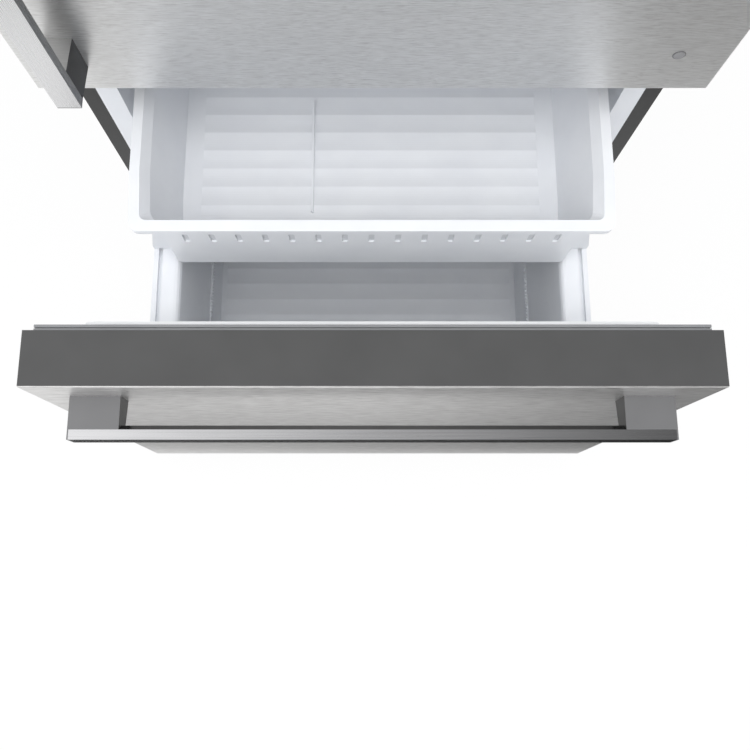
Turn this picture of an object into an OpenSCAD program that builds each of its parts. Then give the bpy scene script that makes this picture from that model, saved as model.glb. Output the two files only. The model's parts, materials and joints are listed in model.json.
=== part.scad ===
// Bottom freezer refrigerator: one hinged fridge door over one full-width freezer drawer.
// Stands on the floor at Z = 0, front towards -Y. The drawer is drawn pulled out, as it rests.

/* [Overall] */
// Width of the cabinet and of both doors
body_w = 756; // [700:1:915]
// Depth of the insulated cabinet behind its front plane
cabinet_d = 640; // [600:1:720]
// Height of the cabinet's top above the floor
cabinet_top = 1676; // [1600:1:1800]
// Height of the freezer door's lower edge above the floor
door_bottom = 45; // [40:1:70]
// Height of the freezer door
freezer_door_h = 630; // [600:1:660]
// Gap between the two doors, which holds the centre hinge
door_gap = 20; // [16:1:26]
// Gap between the fridge door's upper edge and the top hinge plate
door_top_gap = 1; // [0.5:0.1:3]
// Thickness of both doors
door_t = 63; // [55:1:75]
// Distance from a closed door's back to the cabinet's front plane
seal_gap = 10; // [8:0.5:14]

/* [Cabinet] */
// Thickness of the side walls and the ceiling, with steel, foam and liner
wall_t = 50; // [42:1:60]
// Thickness of the rear wall
back_wall_t = 55; // [45:1:70]
// Thickness of the freezer floor
floor_t = 50; // [40:1:60]
// Height of the freezer floor above the room's floor
freezer_floor_z = 150; // [130:1:160]
// Height of the partition between the two compartments
mullion_h = 70; // [60:1:80]
// Thickness of the painted steel wrapper
shell_t = 1; // [0.6:0.1:1.5]
// Thickness of the formed plastic liners
liner_t = 2.5; // [1.5:0.1:3]
// Width of the painted flange round the cabinet's front
flange_w = 22; // [18:1:26]
// Radius of the liners' inner corners
liner_r = 14; // [8:1:20]
// Depth of the machine bay, from the back
bay_d = 300; // [280:1:320]
// Height of the machine bay's ceiling above the floor
bay_top = 250; // [240:1:255]
// Height of the cabinet's lower edge above the floor
plinth_z = 44; // [38:1:60]

/* [Doors] */
// Thickness of the stainless door skins
skin_t = 0.8; // [0.6:0.1:1.2]
// Radius of the skins' folded vertical edges
fold_r = 2; // [1.8:0.1:5]
// Thickness of an end cap's visible lip
cap_lip = 2.5; // [2:0.5:4]
// Height of an end cap's plug inside the skin
cap_h = 14; // [10:1:20]
// Distance from the fridge door's top and bottom edge to its seal
seal_inset = 8; // [6:1:10]
// Distance from the freezer door's top to its seal
freezer_seal_inset = 13; // [12:1:16]
// Distance from the freezer door's sides to its seal
freezer_seal_side = 7; // [6:1:10]
// Distance from the fridge door's sides to its seal
fridge_seal_side = 13; // [10:1:16]
// Width of a seal's strip
seal_strip = 13; // [12:1:13]
// Height that the freezer door's plug liner stands out of the door
freezer_plug_h = 17; // [12:1:22]
// Gap between the freezer door's plug liner and the compartment's walls
plug_gap = 5; // [4:0.5:10]
// Distance from the freezer door's top to its plug liner
freezer_plug_drop = 27; // [27:1:40]
// Height that the fridge door's ridges stand out of the door
ridge_h = 38; // [30:1:45]
// Width of one ridge
ridge_w = 26; // [22:1:34]
// Gap between the fridge door's ridges and the compartment's walls
ridge_gap = 8; // [6:1:14]

/* [Handles] */
// Distance from a door's face to the front of its handle bar
handle_out = 49; // [40:1:60]
// Height of the bar's section
bar_h = 26; // [22:1:32]
// Depth of the bar's section
bar_d = 17; // [14:0.5:22]
// Depth of the chamfers along the bar's back
bar_chamfer_d = 5.7; // [3:0.1:8]
// Height of the chamfers along the bar's back
bar_chamfer_h = 9; // [4:0.5:10]
// Distance from the freezer door's sides to its handle
freezer_bar_side = 39.5; // [30:0.5:80]
// Thickness of the plates that close a bar's ends
end_plate_t = 1.6; // [1:0.1:3]
// Distance from the freezer door's top to its bar
freezer_bar_drop = 50; // [40:1:80]
// Length of the freezer handle's brackets
freezer_bracket_l = 57; // [45:1:65]
// Height of a bracket where it meets the door
bracket_root_h = 33; // [30:1:40]
// Height of the fridge handle's brackets where they meet the door
fridge_root_h = 29; // [27:1:40]
// Length of the fridge door's bar
fridge_bar_l = 820; // [600:1:900]
// Distance from the fridge door's lower edge to its bar
fridge_bar_rise = 43; // [40:1:120]
// Distance from the fridge door's side to the middle of its bar
fridge_bar_side = 54.5; // [30:0.5:80]
// Length of the fridge handle's brackets
fridge_bracket_l = 53; // [45:1:65]
// Diameter of the plain plug in the fridge door's face
plug_dia = 12; // [8:1:16]
// Distance from the fridge door's side to the plain plug
plug_side = 55.5; // [40:0.5:80]

/* [Hinges] */
// Distance from the door's side to the hinge axis
hinge_inset_x = 12; // [10:1:14]
// Distance from the door's face to the hinge axis
hinge_inset_y = 24; // [20:1:30]
// Diameter of both hinge pins
hinge_pin_dia = 10; // [8:0.5:12]
// Running gap round a pin
pin_gap = 0.05; // [0.02:0.01:0.1]
// Thickness of the hinge plates
hinge_plate_t = 4; // [3:0.5:5]

/* [Freezer drawer] */
// Distance that the drawer is drawn out at rest
drawer_rest = 340; // [0:1:400]
// Distance that the upper basket is set back from its front stop at rest
basket_back = 100; // [0:1:110]
// Height of a slide rail's section
rail_h = 45; // [40:1:50]
// Length of the slide rails
rail_l = 470; // [420:1:480]
// Thickness of the slide rails' sheet
rail_t = 1.5; // [1.2:0.1:2]
// Width over the three nested rails on one side
rail_stack = 19; // [17:0.5:21]
// Height of the slide rails' middle above the floor
rail_z = 326; // [324:1:328]
// Distance from the drawer's side rails to the lower bin's rim
bin_rim_gap = 25.5; // [20:0.5:32]
// Width of the lower bin's rim on each side
bin_rim_side = 35.5; // [33:0.5:40]
// Draft of the lower bin's side walls
bin_draft = 8; // [6:0.5:12]
// Distance from the freezer door's top to the lower bin's rim
bin_rim_drop = 165; // [160:1:170]
// Depth of the lower bin in front of the machine bay
bin_deep_h = 275; // [240:1:280]
// Depth of the lower bin over the machine bay
bin_shallow_h = 178; // [150:1:180]
// Length of the lower bin
bin_l = 460; // [420:1:465]
// Length of the lower bin's deep part at its floor
bin_deep_l = 252; // [200:1:256]
// Wall of the bins and baskets
bin_wall = 2.5; // [2:0.1:3.5]
// Distance that the upper basket's rim reaches past the lower bin's rim
basket_over = 4.5; // [2:0.5:8]
// Width of the upper basket's rim on each side
basket_rim_side = 12; // [10:0.5:16]
// Distance that the upper basket's side walls lean in below their rim
basket_lean = 28.5; // [26:0.5:36]
// Distance from the freezer door's top to the upper basket's rim
basket_rim_drop = 45; // [42:1:50]
// Length of the upper basket
basket_l = 330; // [300:1:335]
// Pitch of the corrugations across both floors
rib_pitch = 26.2; // [20:0.1:30]
// Number of air slots in the upper basket's front wall
slot_count = 15; // [9:1:19]
// Pitch of the air slots
slot_pitch = 31.8; // [26:0.1:34]
// Width of an air slot
slot_w = 7; // [4:0.5:9]
// Height of an air slot
slot_h = 24; // [15:1:32]

/* [Fridge interior] */
// Air gap between the glass shelves and the duct behind them
shelf_back_gap = 24; // [12:1:60]
// Heights of the three shelves above the compartment's floor
shelf_rise = [375, 550, 725];
// Height of the crispers
crisper_h = 178; // [150:1:190]
// Length by which the crispers are shorter than the shelves
crisper_short = 10; // [9:1:60]
// Depth of the door bins
door_bin_d = 118; // [100:1:125]
// Height of the door bins
door_bin_h = 105; // [90:1:130]
// Heights of the three door bins above the door's lower edge
door_bin_rise = [75, 395, 665];

/* [Machine bay] */
// Diameter of the compressor's can
compressor_dia = 150; // [130:1:170]
// Height of the compressor's can
compressor_h = 160; // [140:1:165]
// Diameter of the condenser fan
condenser_fan_dia = 140; // [110:1:150]
// Diameter of the evaporator fan
evaporator_fan_dia = 110; // [90:1:120]
// Diameter of the rear rollers
roller_dia = 44; // [38:1:50]
// Diameter of a levelling foot's pad
foot_dia = 38; // [30:1:44]

/* [Hidden] */
$fn = 48;

// Overrun of a cut past the face that it opens
over = 1;
// Thickness of the sheets that a loft is drawn between
film = 0.01;
// Gap between faces that run past each other
run_gap = 0.3;
// Segments of a loft's rounded corners
loft_fn = 28;

// The closed door faces lie on this plane, which centres the part's box on the origin
front_y = (drawer_rest + handle_out - door_t - seal_gap - cabinet_d) / 2;
// All places below are measured back from the closed door faces
cab_y0 = door_t + seal_gap;
cab_y1 = cab_y0 + cabinet_d;
inner_w = body_w - 2 * wall_t;
inner_back = cab_y1 - back_wall_t;
inner_top = cabinet_top - wall_t;
freezer_top = door_bottom + freezer_door_h;
fridge_bottom = freezer_top + door_gap;
fridge_top = cabinet_top - door_top_gap;
fridge_door_h = fridge_top - fridge_bottom;
gap_mid = freezer_top + door_gap / 2;
freezer_ceiling = gap_mid - mullion_h / 2;
fridge_floor = gap_mid + mullion_h / 2;
bay_y0 = cab_y1 - bay_d;
hump_y0 = bay_y0 - floor_t;
hump_top = bay_top + floor_t;

// Colours
steel_colour = [0.76, 0.77, 0.78];
dark_colour = [0.33, 0.33, 0.34];
cabinet_colour = [0.30, 0.30, 0.31];
liner_colour = [0.92, 0.93, 0.94];
basket_colour = [0.88, 0.89, 0.91];
foam_colour = [0.93, 0.86, 0.62];
zinc_colour = [0.66, 0.68, 0.70];
clear_colour = [0.72, 0.82, 0.86, 0.45];
seal_colour = [0.56, 0.57, 0.58];
black_colour = [0.10, 0.10, 0.11];
copper_colour = [0.72, 0.42, 0.27];

// Helpers

module placed() {
    translate([0, front_y, 0]) children();
}

module on_drawer() {
    translate([0, front_y - drawer_rest, 0]) children();
}

module box(x, y, z) {
    translate([x[0], y[0], z[0]]) cube([x[1] - x[0], y[1] - y[0], z[1] - z[0]]);
}

// A box that is centred on the middle plane
module bar_x(w, y, z) {
    box([-w / 2, w / 2], y, z);
}

// A pair of pieces, one on each side
module both_sides() {
    children();
    mirror([1, 0, 0]) children();
}

// A rounded rectangle about the origin
module rounded(w, h, r) {
    square([w - 2 * r, h], center = true);
    square([w, h - 2 * r], center = true);
    for (x = [-1, 1]) {
        for (y = [-1, 1]) {
            translate([x * (w / 2 - r), y * (h / 2 - r)]) circle(r);
        }
    }
}

// A flat outline drawn in X and Z, extruded along Y
module along_y(y) {
    translate([0, y[1], 0]) rotate([90, 0, 0]) linear_extrude(y[1] - y[0]) children();
}

// A flat outline drawn in Y and Z, extruded along X
module along_x(x) {
    translate([x[0], 0, 0]) rotate([90, 0, 90]) linear_extrude(x[1] - x[0]) children();
}

// A rounded block along Y, given by its width and its ranges in Y and Z
module rounded_y(w, y, z, r) {
    along_y(y) translate([0, (z[0] + z[1]) / 2]) rounded(w, z[1] - z[0], r);
}

// A rounded block along Z, given by its width and its ranges in Y and Z
module rounded_z(w, y, z, r) {
    translate([0, (y[0] + y[1]) / 2, z[0]]) linear_extrude(z[1] - z[0]) rounded(w, y[1] - y[0], r);
}

// A drafted block: widths and Y ranges at its bottom and its top
module loft_z(w0, y0, w1, y1, z, r0, r1) {
    hull($fn = loft_fn) {
        rounded_z(w0, y0, [z[0], z[0] + film], r0, $fn = loft_fn);
        rounded_z(w1, y1, [z[1] - film, z[1]], r1, $fn = loft_fn);
    }
}

// A drafted block along Y: widths and Z ranges at its front and its back
module loft_y(w0, z0, w1, z1, y, r0, r1) {
    hull() {
        rounded_y(w0, [y[0], y[0] + film], z0, r0, $fn = loft_fn);
        rounded_y(w1, [y[1] - film, y[1]], z1, r1, $fn = loft_fn);
    }
}

function grow(range, by) = [range[0] - by, range[1] + by];
function lift(range, by) = [range[0] + by, range[1] + by];

// A tube that runs to and fro along X, with its bends in the plane given by turn
module serpentine(run, pitch, rows, tube_r) {
    for (i = [0 : rows - 1]) {
        translate([-run / 2, 0, i * pitch]) rotate([0, 90, 0]) cylinder(h = run, r = tube_r);
    }
    for (i = [0 : rows - 2]) {
        side = i % 2 == 0 ? 1 : -1;
        translate([side * run / 2, 0, (i + 0.5) * pitch]) rotate([90, side * 90, 0])
            rotate_extrude(angle = 180) translate([pitch / 2, 0]) circle(tube_r);
    }
}

// An axial fan with its hub on the Z axis
module fan_blades(dia, hub_r, depth, count, bore_r) {
    blade_t = depth * 0.1;
    pitch_angle = 28;
    difference() {
        union() {
            cylinder(h = depth, r = hub_r);
            intersection() {
                cylinder(h = depth, r = dia / 2);
                for (i = [0 : count - 1]) {
                    rotate([0, 0, i * 360 / count]) translate([hub_r * 0.8, 0, depth / 2])
                        rotate([pitch_angle, 0, 0]) translate([0, -dia * 0.16, -blade_t / 2])
                        linear_extrude(blade_t) fan_blade_outline(dia / 2 - hub_r * 0.8, dia * 0.32);
                }
            }
        }
        translate([0, 0, -over]) cylinder(h = depth * 0.7 + over, r = bore_r);
    }
}

// A blade that widens towards its tip, with a rounded leading corner
module fan_blade_outline(reach, chord) {
    tip_share = 0.24;
    difference() {
        polygon([[0, chord * 0.2], [reach * 0.5, 0], [reach, 0], [reach, chord],
            [reach * 0.5, chord * 0.94], [0, chord * 0.8]]);
        translate([reach, chord]) difference() {
            square(chord * tip_share * 2, center = true);
            translate([-chord * tip_share, -chord * tip_share]) circle(chord * tip_share);
        }
    }
}

// Cabinet

shell_r = 5;
back_return_w = 14;

module shell_section(inset, bottom) {
    top = cabinet_top - inset;
    w = body_w - 2 * inset;
    r = shell_r - inset;
    translate([-w / 2, bottom]) square([w, top - r - bottom]);
    translate([-w / 2 + r, bottom]) square([w - 2 * r, top - bottom]);
    for (x = [-1, 1]) {
        translate([x * (w / 2 - r), top - r]) circle(r);
    }
}

// Steel wrapper: both sides and the top in one sheet, with flanges turned in at front and back
module cabinet_shell() {
    color(cabinet_colour) placed() difference() {
        along_y([cab_y0, cab_y1]) shell_section(0, plinth_z);
        along_y([cab_y0 + shell_t, cab_y1 - 2 * shell_t]) shell_section(shell_t, plinth_z - over);
        bar_x(body_w - 2 * flange_w, [cab_y0 - over, cab_y0 + 2 * shell_t],
            [plinth_z - over, cabinet_top - flange_w]);
        bar_x(body_w - 2 * back_return_w, [cab_y1 - 3 * shell_t, cab_y1 + over],
            [plinth_z - over, cabinet_top - back_return_w]);
        bar_x(body_w - 2 * shell_t, [cab_y1 - shell_t, cab_y1 + over],
            [plinth_z - over, cabinet_top - shell_t]);
    }
}

// The room in the foam for one compartment, as large as its liner outside
module cavity(z, grow_by) {
    rounded_y(inner_w + 2 * grow_by, [cab_y0 - over, inner_back + grow_by], grow(z, grow_by),
        liner_r + grow_by);
}

fridge_z = [fridge_floor, inner_top];
freezer_z = [freezer_floor_z, freezer_ceiling];

// The raised floor over the machine bay
module hump(shrink) {
    bar_x(body_w, [hump_y0 + shrink, cab_y1], [freezer_floor_z - floor_t, hump_top - shrink]);
}

// Foam between wrapper and liners, cut away over the machine bay
module cabinet_foam() {
    color(foam_colour) placed() difference() {
        union() {
            along_y([cab_y0 + shell_t, cab_y1 - 2 * shell_t])
                shell_section(shell_t, freezer_floor_z - floor_t);
            bar_x(body_w - 2 * back_return_w, [inner_back, cab_y1 - shell_t],
                [bay_top + shell_t, cabinet_top - back_return_w]);
        }
        bar_x(body_w, [cab_y0, cab_y0 + liner_t], [plinth_z, cabinet_top - flange_w]);
        cavity(fridge_z, liner_t);
        difference() {
            cavity(freezer_z, liner_t);
            hump(liner_t);
        }
        bar_x(body_w, [bay_y0 - shell_t, cab_y1], [plinth_z, bay_top + shell_t]);
    }
}

liner_flange_w = body_w - 2 * flange_w;
rail_front_h = 40;

// Fridge liner with its front flange and moulded shelf ledges
module fridge_liner() {
    ledge_h = 8;
    ledge_w = 7;
    color(liner_colour) placed() {
        difference() {
            union() {
                intersection() {
                    cavity(fridge_z, liner_t);
                    bar_x(body_w, [cab_y0, cab_y1], [0, cabinet_top]);
                }
                bar_x(liner_flange_w, [cab_y0, cab_y0 + liner_t],
                    [gap_mid + rail_front_h / 2, cabinet_top - flange_w]);
            }
            cavity(fridge_z, 0);
        }
        both_sides() for (rise = shelf_rise) {
            translate([inner_w / 2 - ledge_w, 0, 0]) rounded_ledge(ledge_w + liner_t / 2,
                [shelf_y0, shelf_y0 + shelf_d], fridge_floor + rise, ledge_h);
        }
    }
}

// A ledge with a sloped underside, as it leaves the mould
module rounded_ledge(w, y, top, h) {
    along_y(y) polygon([[0, top], [w, top], [w, top - 2 * h], [0, top - h]]);
}

// Freezer liner with its front flange and the step over the machine bay
module freezer_liner() {
    color(liner_colour) placed() difference() {
        union() {
            intersection() {
                difference() {
                    cavity(freezer_z, liner_t);
                    hump(liner_t);
                }
                bar_x(body_w, [cab_y0, cab_y1], [0, cabinet_top]);
            }
            bar_x(liner_flange_w, [cab_y0, cab_y0 + liner_t],
                [freezer_floor_z - flange_w, gap_mid - rail_front_h / 2]);
        }
        difference() {
            cavity(freezer_z, 0);
            hump(0);
        }
    }
}

// Painted sheet over the cabinet's back
module back_panel() {
    bead_w = 16;
    bead_pitch = 130;
    color(cabinet_colour) placed() difference() {
        bar_x(body_w - 2 * shell_t, [cab_y1 - shell_t, cab_y1],
            [bay_top + shell_t, cabinet_top - shell_t]);
        for (x = [-2 : 2]) {
            translate([x * bead_pitch, 0, 0]) rounded_y(bead_w, [cab_y1 - shell_t * 0.4, cab_y1 + over],
                [bay_top + bead_pitch, cabinet_top - bead_pitch], bead_w / 2 - film);
        }
    }
}

// Steel rail across the front, between the compartments
module mullion_rail() {
    color(cabinet_colour) placed() difference() {
        bar_x(liner_flange_w, [cab_y0, cab_y0 + liner_t],
            [gap_mid - rail_front_h / 2, gap_mid + rail_front_h / 2]);
        bar_x(liner_flange_w - 2 * flange_w, [cab_y0 + shell_t, cab_y0 + liner_t + over],
            grow([gap_mid, gap_mid], rail_front_h / 2 - shell_t));
    }
}

// Folded sheet under the foam: floor, riser and ceiling of the machine bay
module base_plate() {
    z0 = freezer_floor_z - floor_t;
    color(zinc_colour) placed() along_x([-body_w / 2 + shell_t, body_w / 2 - shell_t])
        polygon([
            [cab_y0 + liner_t, z0], [bay_y0 - shell_t, z0], [bay_y0 - shell_t, bay_top + shell_t],
            [cab_y1 - 2 * shell_t, bay_top + shell_t], [cab_y1 - 2 * shell_t, bay_top],
            [bay_y0, bay_top], [bay_y0, z0 - shell_t], [cab_y0 + shell_t, z0 - shell_t],
            [cab_y0 + shell_t, freezer_floor_z - flange_w], [cab_y0 + liner_t, freezer_floor_z - flange_w]]);
}

chassis_t = 2;
chassis_w = body_w - 2 * shell_t;
front_beam_d = 60;
foot_set = 52;
foot_x = body_w / 2 - foot_set;
foot_y = cab_y0 + front_beam_d / 2;
stud_r = 5;
roller_side = 60;
roller_back = 70;
roller_x = body_w / 2 - roller_side;
roller_y = cab_y1 - roller_back;
roller_w = 20;
axle_r = 4;
roller_z = roller_dia / 2;
ear_t = 3;
ear_gap = 1;

// Pressed frame: front beam, side rails, compressor tray, and the rollers' ears
module chassis() {
    z0 = plinth_z;
    top = freezer_floor_z - floor_t - shell_t;
    rail_w = 24;
    tray_lip = 16;
    ear_h = z0 - roller_z;
    color(zinc_colour) placed() difference() {
        union() {
            difference() {
                bar_x(chassis_w, [cab_y0 + liner_t, cab_y0 + front_beam_d], [z0, top]);
                bar_x(chassis_w - 2 * chassis_t, [cab_y0 + liner_t + chassis_t,
                    cab_y0 + front_beam_d + over], [z0 + chassis_t, top + over]);
            }
            both_sides() difference() {
                box([chassis_w / 2 - rail_w, chassis_w / 2], [cab_y0 + front_beam_d, bay_y0],
                    [z0, top]);
                box([0, chassis_w / 2 - chassis_t], [cab_y0, bay_y0 + over],
                    [z0 + chassis_t, top + over]);
            }
            difference() {
                bar_x(chassis_w, [bay_y0, cab_y1 - chassis_t], [z0, z0 + tray_lip]);
                bar_x(chassis_w - 2 * chassis_t, [bay_y0 + chassis_t, cab_y1 - 2 * chassis_t],
                    [z0 + chassis_t, z0 + tray_lip + over]);
            }
            both_sides() for (side = [-1, 1]) {
                translate([roller_x + side * (roller_w + ear_t + 2 * ear_gap) / 2, 0, 0])
                    roller_ear(ear_h);
            }
        }
        both_sides() {
            translate([foot_x, foot_y, z0 - over]) cylinder(h = chassis_t + 2 * over, r = stud_r + run_gap);
            translate([roller_x, roller_y, roller_z]) rotate([0, 90, 0])
                cylinder(h = 2 * roller_w, r = axle_r + film, center = true);
        }
    }
}

// An ear under the tray that carries one end of a roller's axle
module roller_ear(h) {
    ear_r = 12;
    translate([-ear_t / 2, roller_y, roller_z]) rotate([0, 90, 0]) cylinder(h = ear_t, r = ear_r);
    box([-ear_t / 2, ear_t / 2], [roller_y - ear_r, roller_y + ear_r], [roller_z, roller_z + h]);
}

module roller_axles() {
    head_r = 6;
    head_t = 2;
    span = roller_w + 2 * ear_gap + 2 * ear_t;
    color(steel_colour) placed() both_sides() translate([roller_x, roller_y, roller_z])
        rotate([0, 90, 0]) {
            cylinder(h = span + 2 * head_t, r = axle_r, center = true);
            for (side = [-1, 1]) {
                translate([0, 0, side * (span + head_t) / 2])
                    cylinder(h = head_t, r = head_r, center = true);
            }
        }
}

module roller() {
    groove_r = 1.5;
    edge_r = 2;
    translate([0, roller_y, roller_z]) rotate([0, 90, 0]) rotate_extrude() difference() {
        translate([axle_r + pin_gap, -roller_w / 2])
            square([roller_dia / 2 - axle_r - pin_gap, roller_w]);
        for (side = [-1, 1]) {
            translate([(roller_dia / 2 + axle_r) / 2, side * roller_w / 2]) circle(groove_r * 2);
            translate([roller_dia / 2, side * roller_w / 2]) rotate([0, 0, 45])
                square(edge_r, center = true);
        }
    }
}

module roller_left() {
    color(black_colour) placed() translate([-roller_x, 0, 0]) roller();
}

module roller_right() {
    color(black_colour) placed() translate([roller_x, 0, 0]) roller();
}

// Levelling foot: pad, hexagon for the spanner, and a threaded stud drawn plain
module foot() {
    pad_h = 9;
    hex_r = 11;
    hex_h = 8;
    stud_top = freezer_floor_z - floor_t - 2 * chassis_t;
    translate([0, foot_y, 0]) {
        rotate_extrude() polygon([[0, 0], [foot_dia / 2 - pad_h / 3, 0], [foot_dia / 2, pad_h / 3],
            [foot_dia / 2, pad_h * 0.6], [hex_r, pad_h], [0, pad_h]]);
        translate([0, 0, pad_h]) cylinder(h = hex_h, r = hex_r, $fn = 6);
        translate([0, 0, pad_h + hex_h]) cylinder(h = stud_top - pad_h - hex_h, r = stud_r);
    }
}

module foot_left() {
    color(black_colour) placed() translate([-foot_x, 0, 0]) foot();
}

module foot_right() {
    color(black_colour) placed() translate([foot_x, 0, 0]) foot();
}

// Grille below the freezer door
module toe_grille() {
    grille_w = body_w - 2 * wall_t;
    grille_z = [foot_dia / 4, plinth_z];
    bar_pitch = 16;
    vent_w = 9;
    rim = 7;
    count = floor((grille_w - 4 * rim) / bar_pitch);
    color(black_colour) placed() {
        along_y([cab_y0 + liner_t, cab_y0 + liner_t + chassis_t]) difference() {
            translate([-grille_w / 2, grille_z[0]]) square([grille_w, grille_z[1] - grille_z[0]]);
            for (i = [0 : count - 1]) {
                translate([(i - (count - 1) / 2) * bar_pitch, (grille_z[0] + grille_z[1]) / 2])
                    rounded(vent_w, grille_z[1] - grille_z[0] - 2 * rim, vent_w / 2 - film);
            }
        }
        for (side = [-1, 1]) {
            translate([side * (grille_w / 2 - 2 * rim), 0, 0]) bar_x(2 * rim,
                [cab_y0 + liner_t, cab_y0 + liner_t + 2 * rim], [plinth_z - chassis_t, plinth_z]);
        }
    }
}

// Louvred cover over the machine bay's back
module machine_cover() {
    cover_w = body_w - 2 * shell_t - 2 * chassis_t;
    louvre_w = 60;
    louvre_h = 6;
    louvre_pitch_x = 78;
    louvre_pitch_z = 16;
    rows = 8;
    columns = 8;
    z = [plinth_z + chassis_t, bay_top];
    color(dark_colour) placed() {
        along_y([cab_y1 - shell_t, cab_y1]) difference() {
            translate([-cover_w / 2, z[0]]) square([cover_w, z[1] - z[0]]);
            for (i = [0 : columns - 1]) {
                for (j = [0 : rows - 1]) {
                    translate([(i - (columns - 1) / 2) * louvre_pitch_x,
                        (z[0] + z[1]) / 2 + (j - (rows - 1) / 2) * louvre_pitch_z])
                        rounded(louvre_w, louvre_h, louvre_h / 2 - film);
                }
            }
        }
    }
}

compressor_side = 130;
compressor_x = body_w / 2 - compressor_side;
compressor_y = bay_y0 + bay_d * 0.46;
mount_h = 14;
compressor_z = plinth_z + chassis_t + mount_h;
mount_span = compressor_dia * 0.92;

// Sealed can with its seam flange, foot plate, terminal box and pipe stubs
module compressor() {
    r = compressor_dia / 2;
    seam_z = compressor_h * 0.52;
    seam_h = 6;
    plate_t = 3;
    stub_r = 4;
    box_w = compressor_dia * 0.36;
    color(black_colour) placed() translate([compressor_x, compressor_y, compressor_z]) {
        rotate_extrude() polygon(concat([[0, plate_t / 2]],
            [for (a = [-90 : 15 : 0]) [r * 0.62 + r * 0.34 * cos(a), r * 0.34 + plate_t + r * 0.34 * sin(a)]],
            [[r * 0.96, seam_z], [r, seam_z], [r, seam_z + seam_h], [r * 0.96, seam_z + seam_h]],
            [for (a = [0 : 15 : 90]) [r * 0.96 * cos(a), seam_z + seam_h
                + (compressor_h - seam_z - seam_h) * sin(a)]]));
        difference() {
            translate([-mount_span / 2 - mount_h, -mount_span / 2 - mount_h, 0])
                cube([mount_span + 2 * mount_h, mount_span + 2 * mount_h, plate_t]);
            for (x = [-1, 1]) {
                for (y = [-1, 1]) {
                    translate([x * mount_span / 2, y * mount_span / 2, -over])
                        cylinder(h = plate_t + 2 * over, r = mount_h * 0.4);
                }
            }
        }
        translate([-r - box_w * 0.2, -box_w / 2, seam_z * 0.35]) cube([box_w, box_w, box_w]);
        for (y = [-0.5, 0, 0.5]) {
            translate([r * 0.7, y * r, seam_z * 0.7]) rotate([0, 90, 0]) cylinder(h = r * 0.5, r = stub_r);
        }
    }
}

// Four rubber grommets under the compressor's foot plate
module compressor_mounts() {
    color(dark_colour) placed() for (x = [-1, 1]) {
        for (y = [-1, 1]) {
            translate([compressor_x + x * mount_span / 2, compressor_y + y * mount_span / 2,
                plinth_z + chassis_t]) rotate_extrude() polygon([[0, 0], [mount_h * 0.8, 0],
                [mount_h * 0.8, mount_h * 0.35], [mount_h * 0.55, mount_h * 0.5],
                [mount_h * 0.8, mount_h * 0.65], [mount_h * 0.8, mount_h], [0, mount_h]]);
        }
    }
}

condenser_side = 150;
condenser_x = -body_w / 2 + condenser_side;
condenser_w = 180;
condenser_y = bay_y0 + bay_d * 0.42;
condenser_pitch = 20;
condenser_rows = 8;
condenser_layers = 3;

// Tube condenser: layers of serpentine tube between two end plates
module condenser_coil() {
    tube_r = 3;
    plate_t = 2;
    layer_gap = 26;
    base = plinth_z + chassis_t;
    height = condenser_rows * condenser_pitch;
    color(copper_colour) placed() translate([condenser_x, condenser_y, base]) {
        for (k = [0 : condenser_layers - 1]) {
            translate([0, (k - (condenser_layers - 1) / 2) * layer_gap, condenser_pitch / 2])
                serpentine(condenser_w, condenser_pitch, condenser_rows, tube_r);
        }
        for (side = [-1, 1]) {
            translate([side * condenser_w * 0.46, 0, 0]) bar_x(plate_t,
                [-condenser_layers * layer_gap / 2, condenser_layers * layer_gap / 2], [0, height]);
        }
    }
}

fan_gap = 70;
fan_x = condenser_x + condenser_w / 2 + fan_gap;
fan_y = condenser_y;
fan_ring_gap = 4;
fan_strut_w = 8;
fan_side = condenser_fan_dia + 2 * fan_ring_gap + 2 * fan_strut_w;
fan_z = plinth_z + chassis_t + fan_side / 2;
fan_shaft_r = 3;
fan_frame_t = 20;
condenser_fan_w = 22;

// Fan frame with its motor on three struts, blowing along X
module condenser_fan_motor() {
    motor_r = 26;
    motor_l = 34;
    strut_t = fan_strut_w / 2;
    color(dark_colour) placed() translate([fan_x, fan_y, fan_z]) rotate([0, 90, 0]) {
        translate([0, 0, -fan_frame_t / 2]) difference() {
            linear_extrude(fan_frame_t) rounded(fan_side, fan_side, fan_strut_w);
            translate([0, 0, -over]) cylinder(h = fan_frame_t + 2 * over,
                r = condenser_fan_dia / 2 + fan_ring_gap);
        }
        translate([0, 0, fan_frame_t / 2]) {
            for (i = [0 : 2]) {
                rotate([0, 0, i * 120]) box([motor_r * 0.8, fan_side / 2 - strut_t],
                    [-fan_strut_w / 2, fan_strut_w / 2], [0, strut_t]);
            }
            cylinder(h = motor_l, r = motor_r);
            translate([0, 0, -condenser_fan_w * 0.6]) cylinder(h = condenser_fan_w, r = fan_shaft_r);
        }
    }
}

// Five-bladed fan on the motor's shaft, its bore towards the motor
module condenser_fan() {
    color(black_colour) placed() translate([fan_x + fan_frame_t / 2 - over, fan_y, fan_z])
        rotate([0, -90, 0]) fan_blades(condenser_fan_dia, condenser_fan_dia * 0.17, condenser_fan_w, 5,
            fan_shaft_r + pin_gap);
}

// Tray under the bay's ceiling that catches the defrost water
module drain_pan() {
    pan_w = 300;
    pan_h = 26;
    draft = 8;
    wall = 2;
    pan_set = 30;
    pan_l = 200;
    y = lift([0, pan_l], bay_y0 + pan_set);
    z = [bay_top - pan_h, bay_top];
    color(basket_colour) placed() translate([compressor_x - pan_w * 0.38, 0, 0]) difference() {
        loft_z(pan_w - 2 * draft, grow(y, -draft), pan_w, y, z, draft, draft);
        loft_z(pan_w - 2 * draft - 2 * wall, grow(y, -draft - wall), pan_w - 2 * wall, grow(y, -wall),
            [z[0] + wall, z[1] + film], draft, draft);
    }
}

// Hinges

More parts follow.
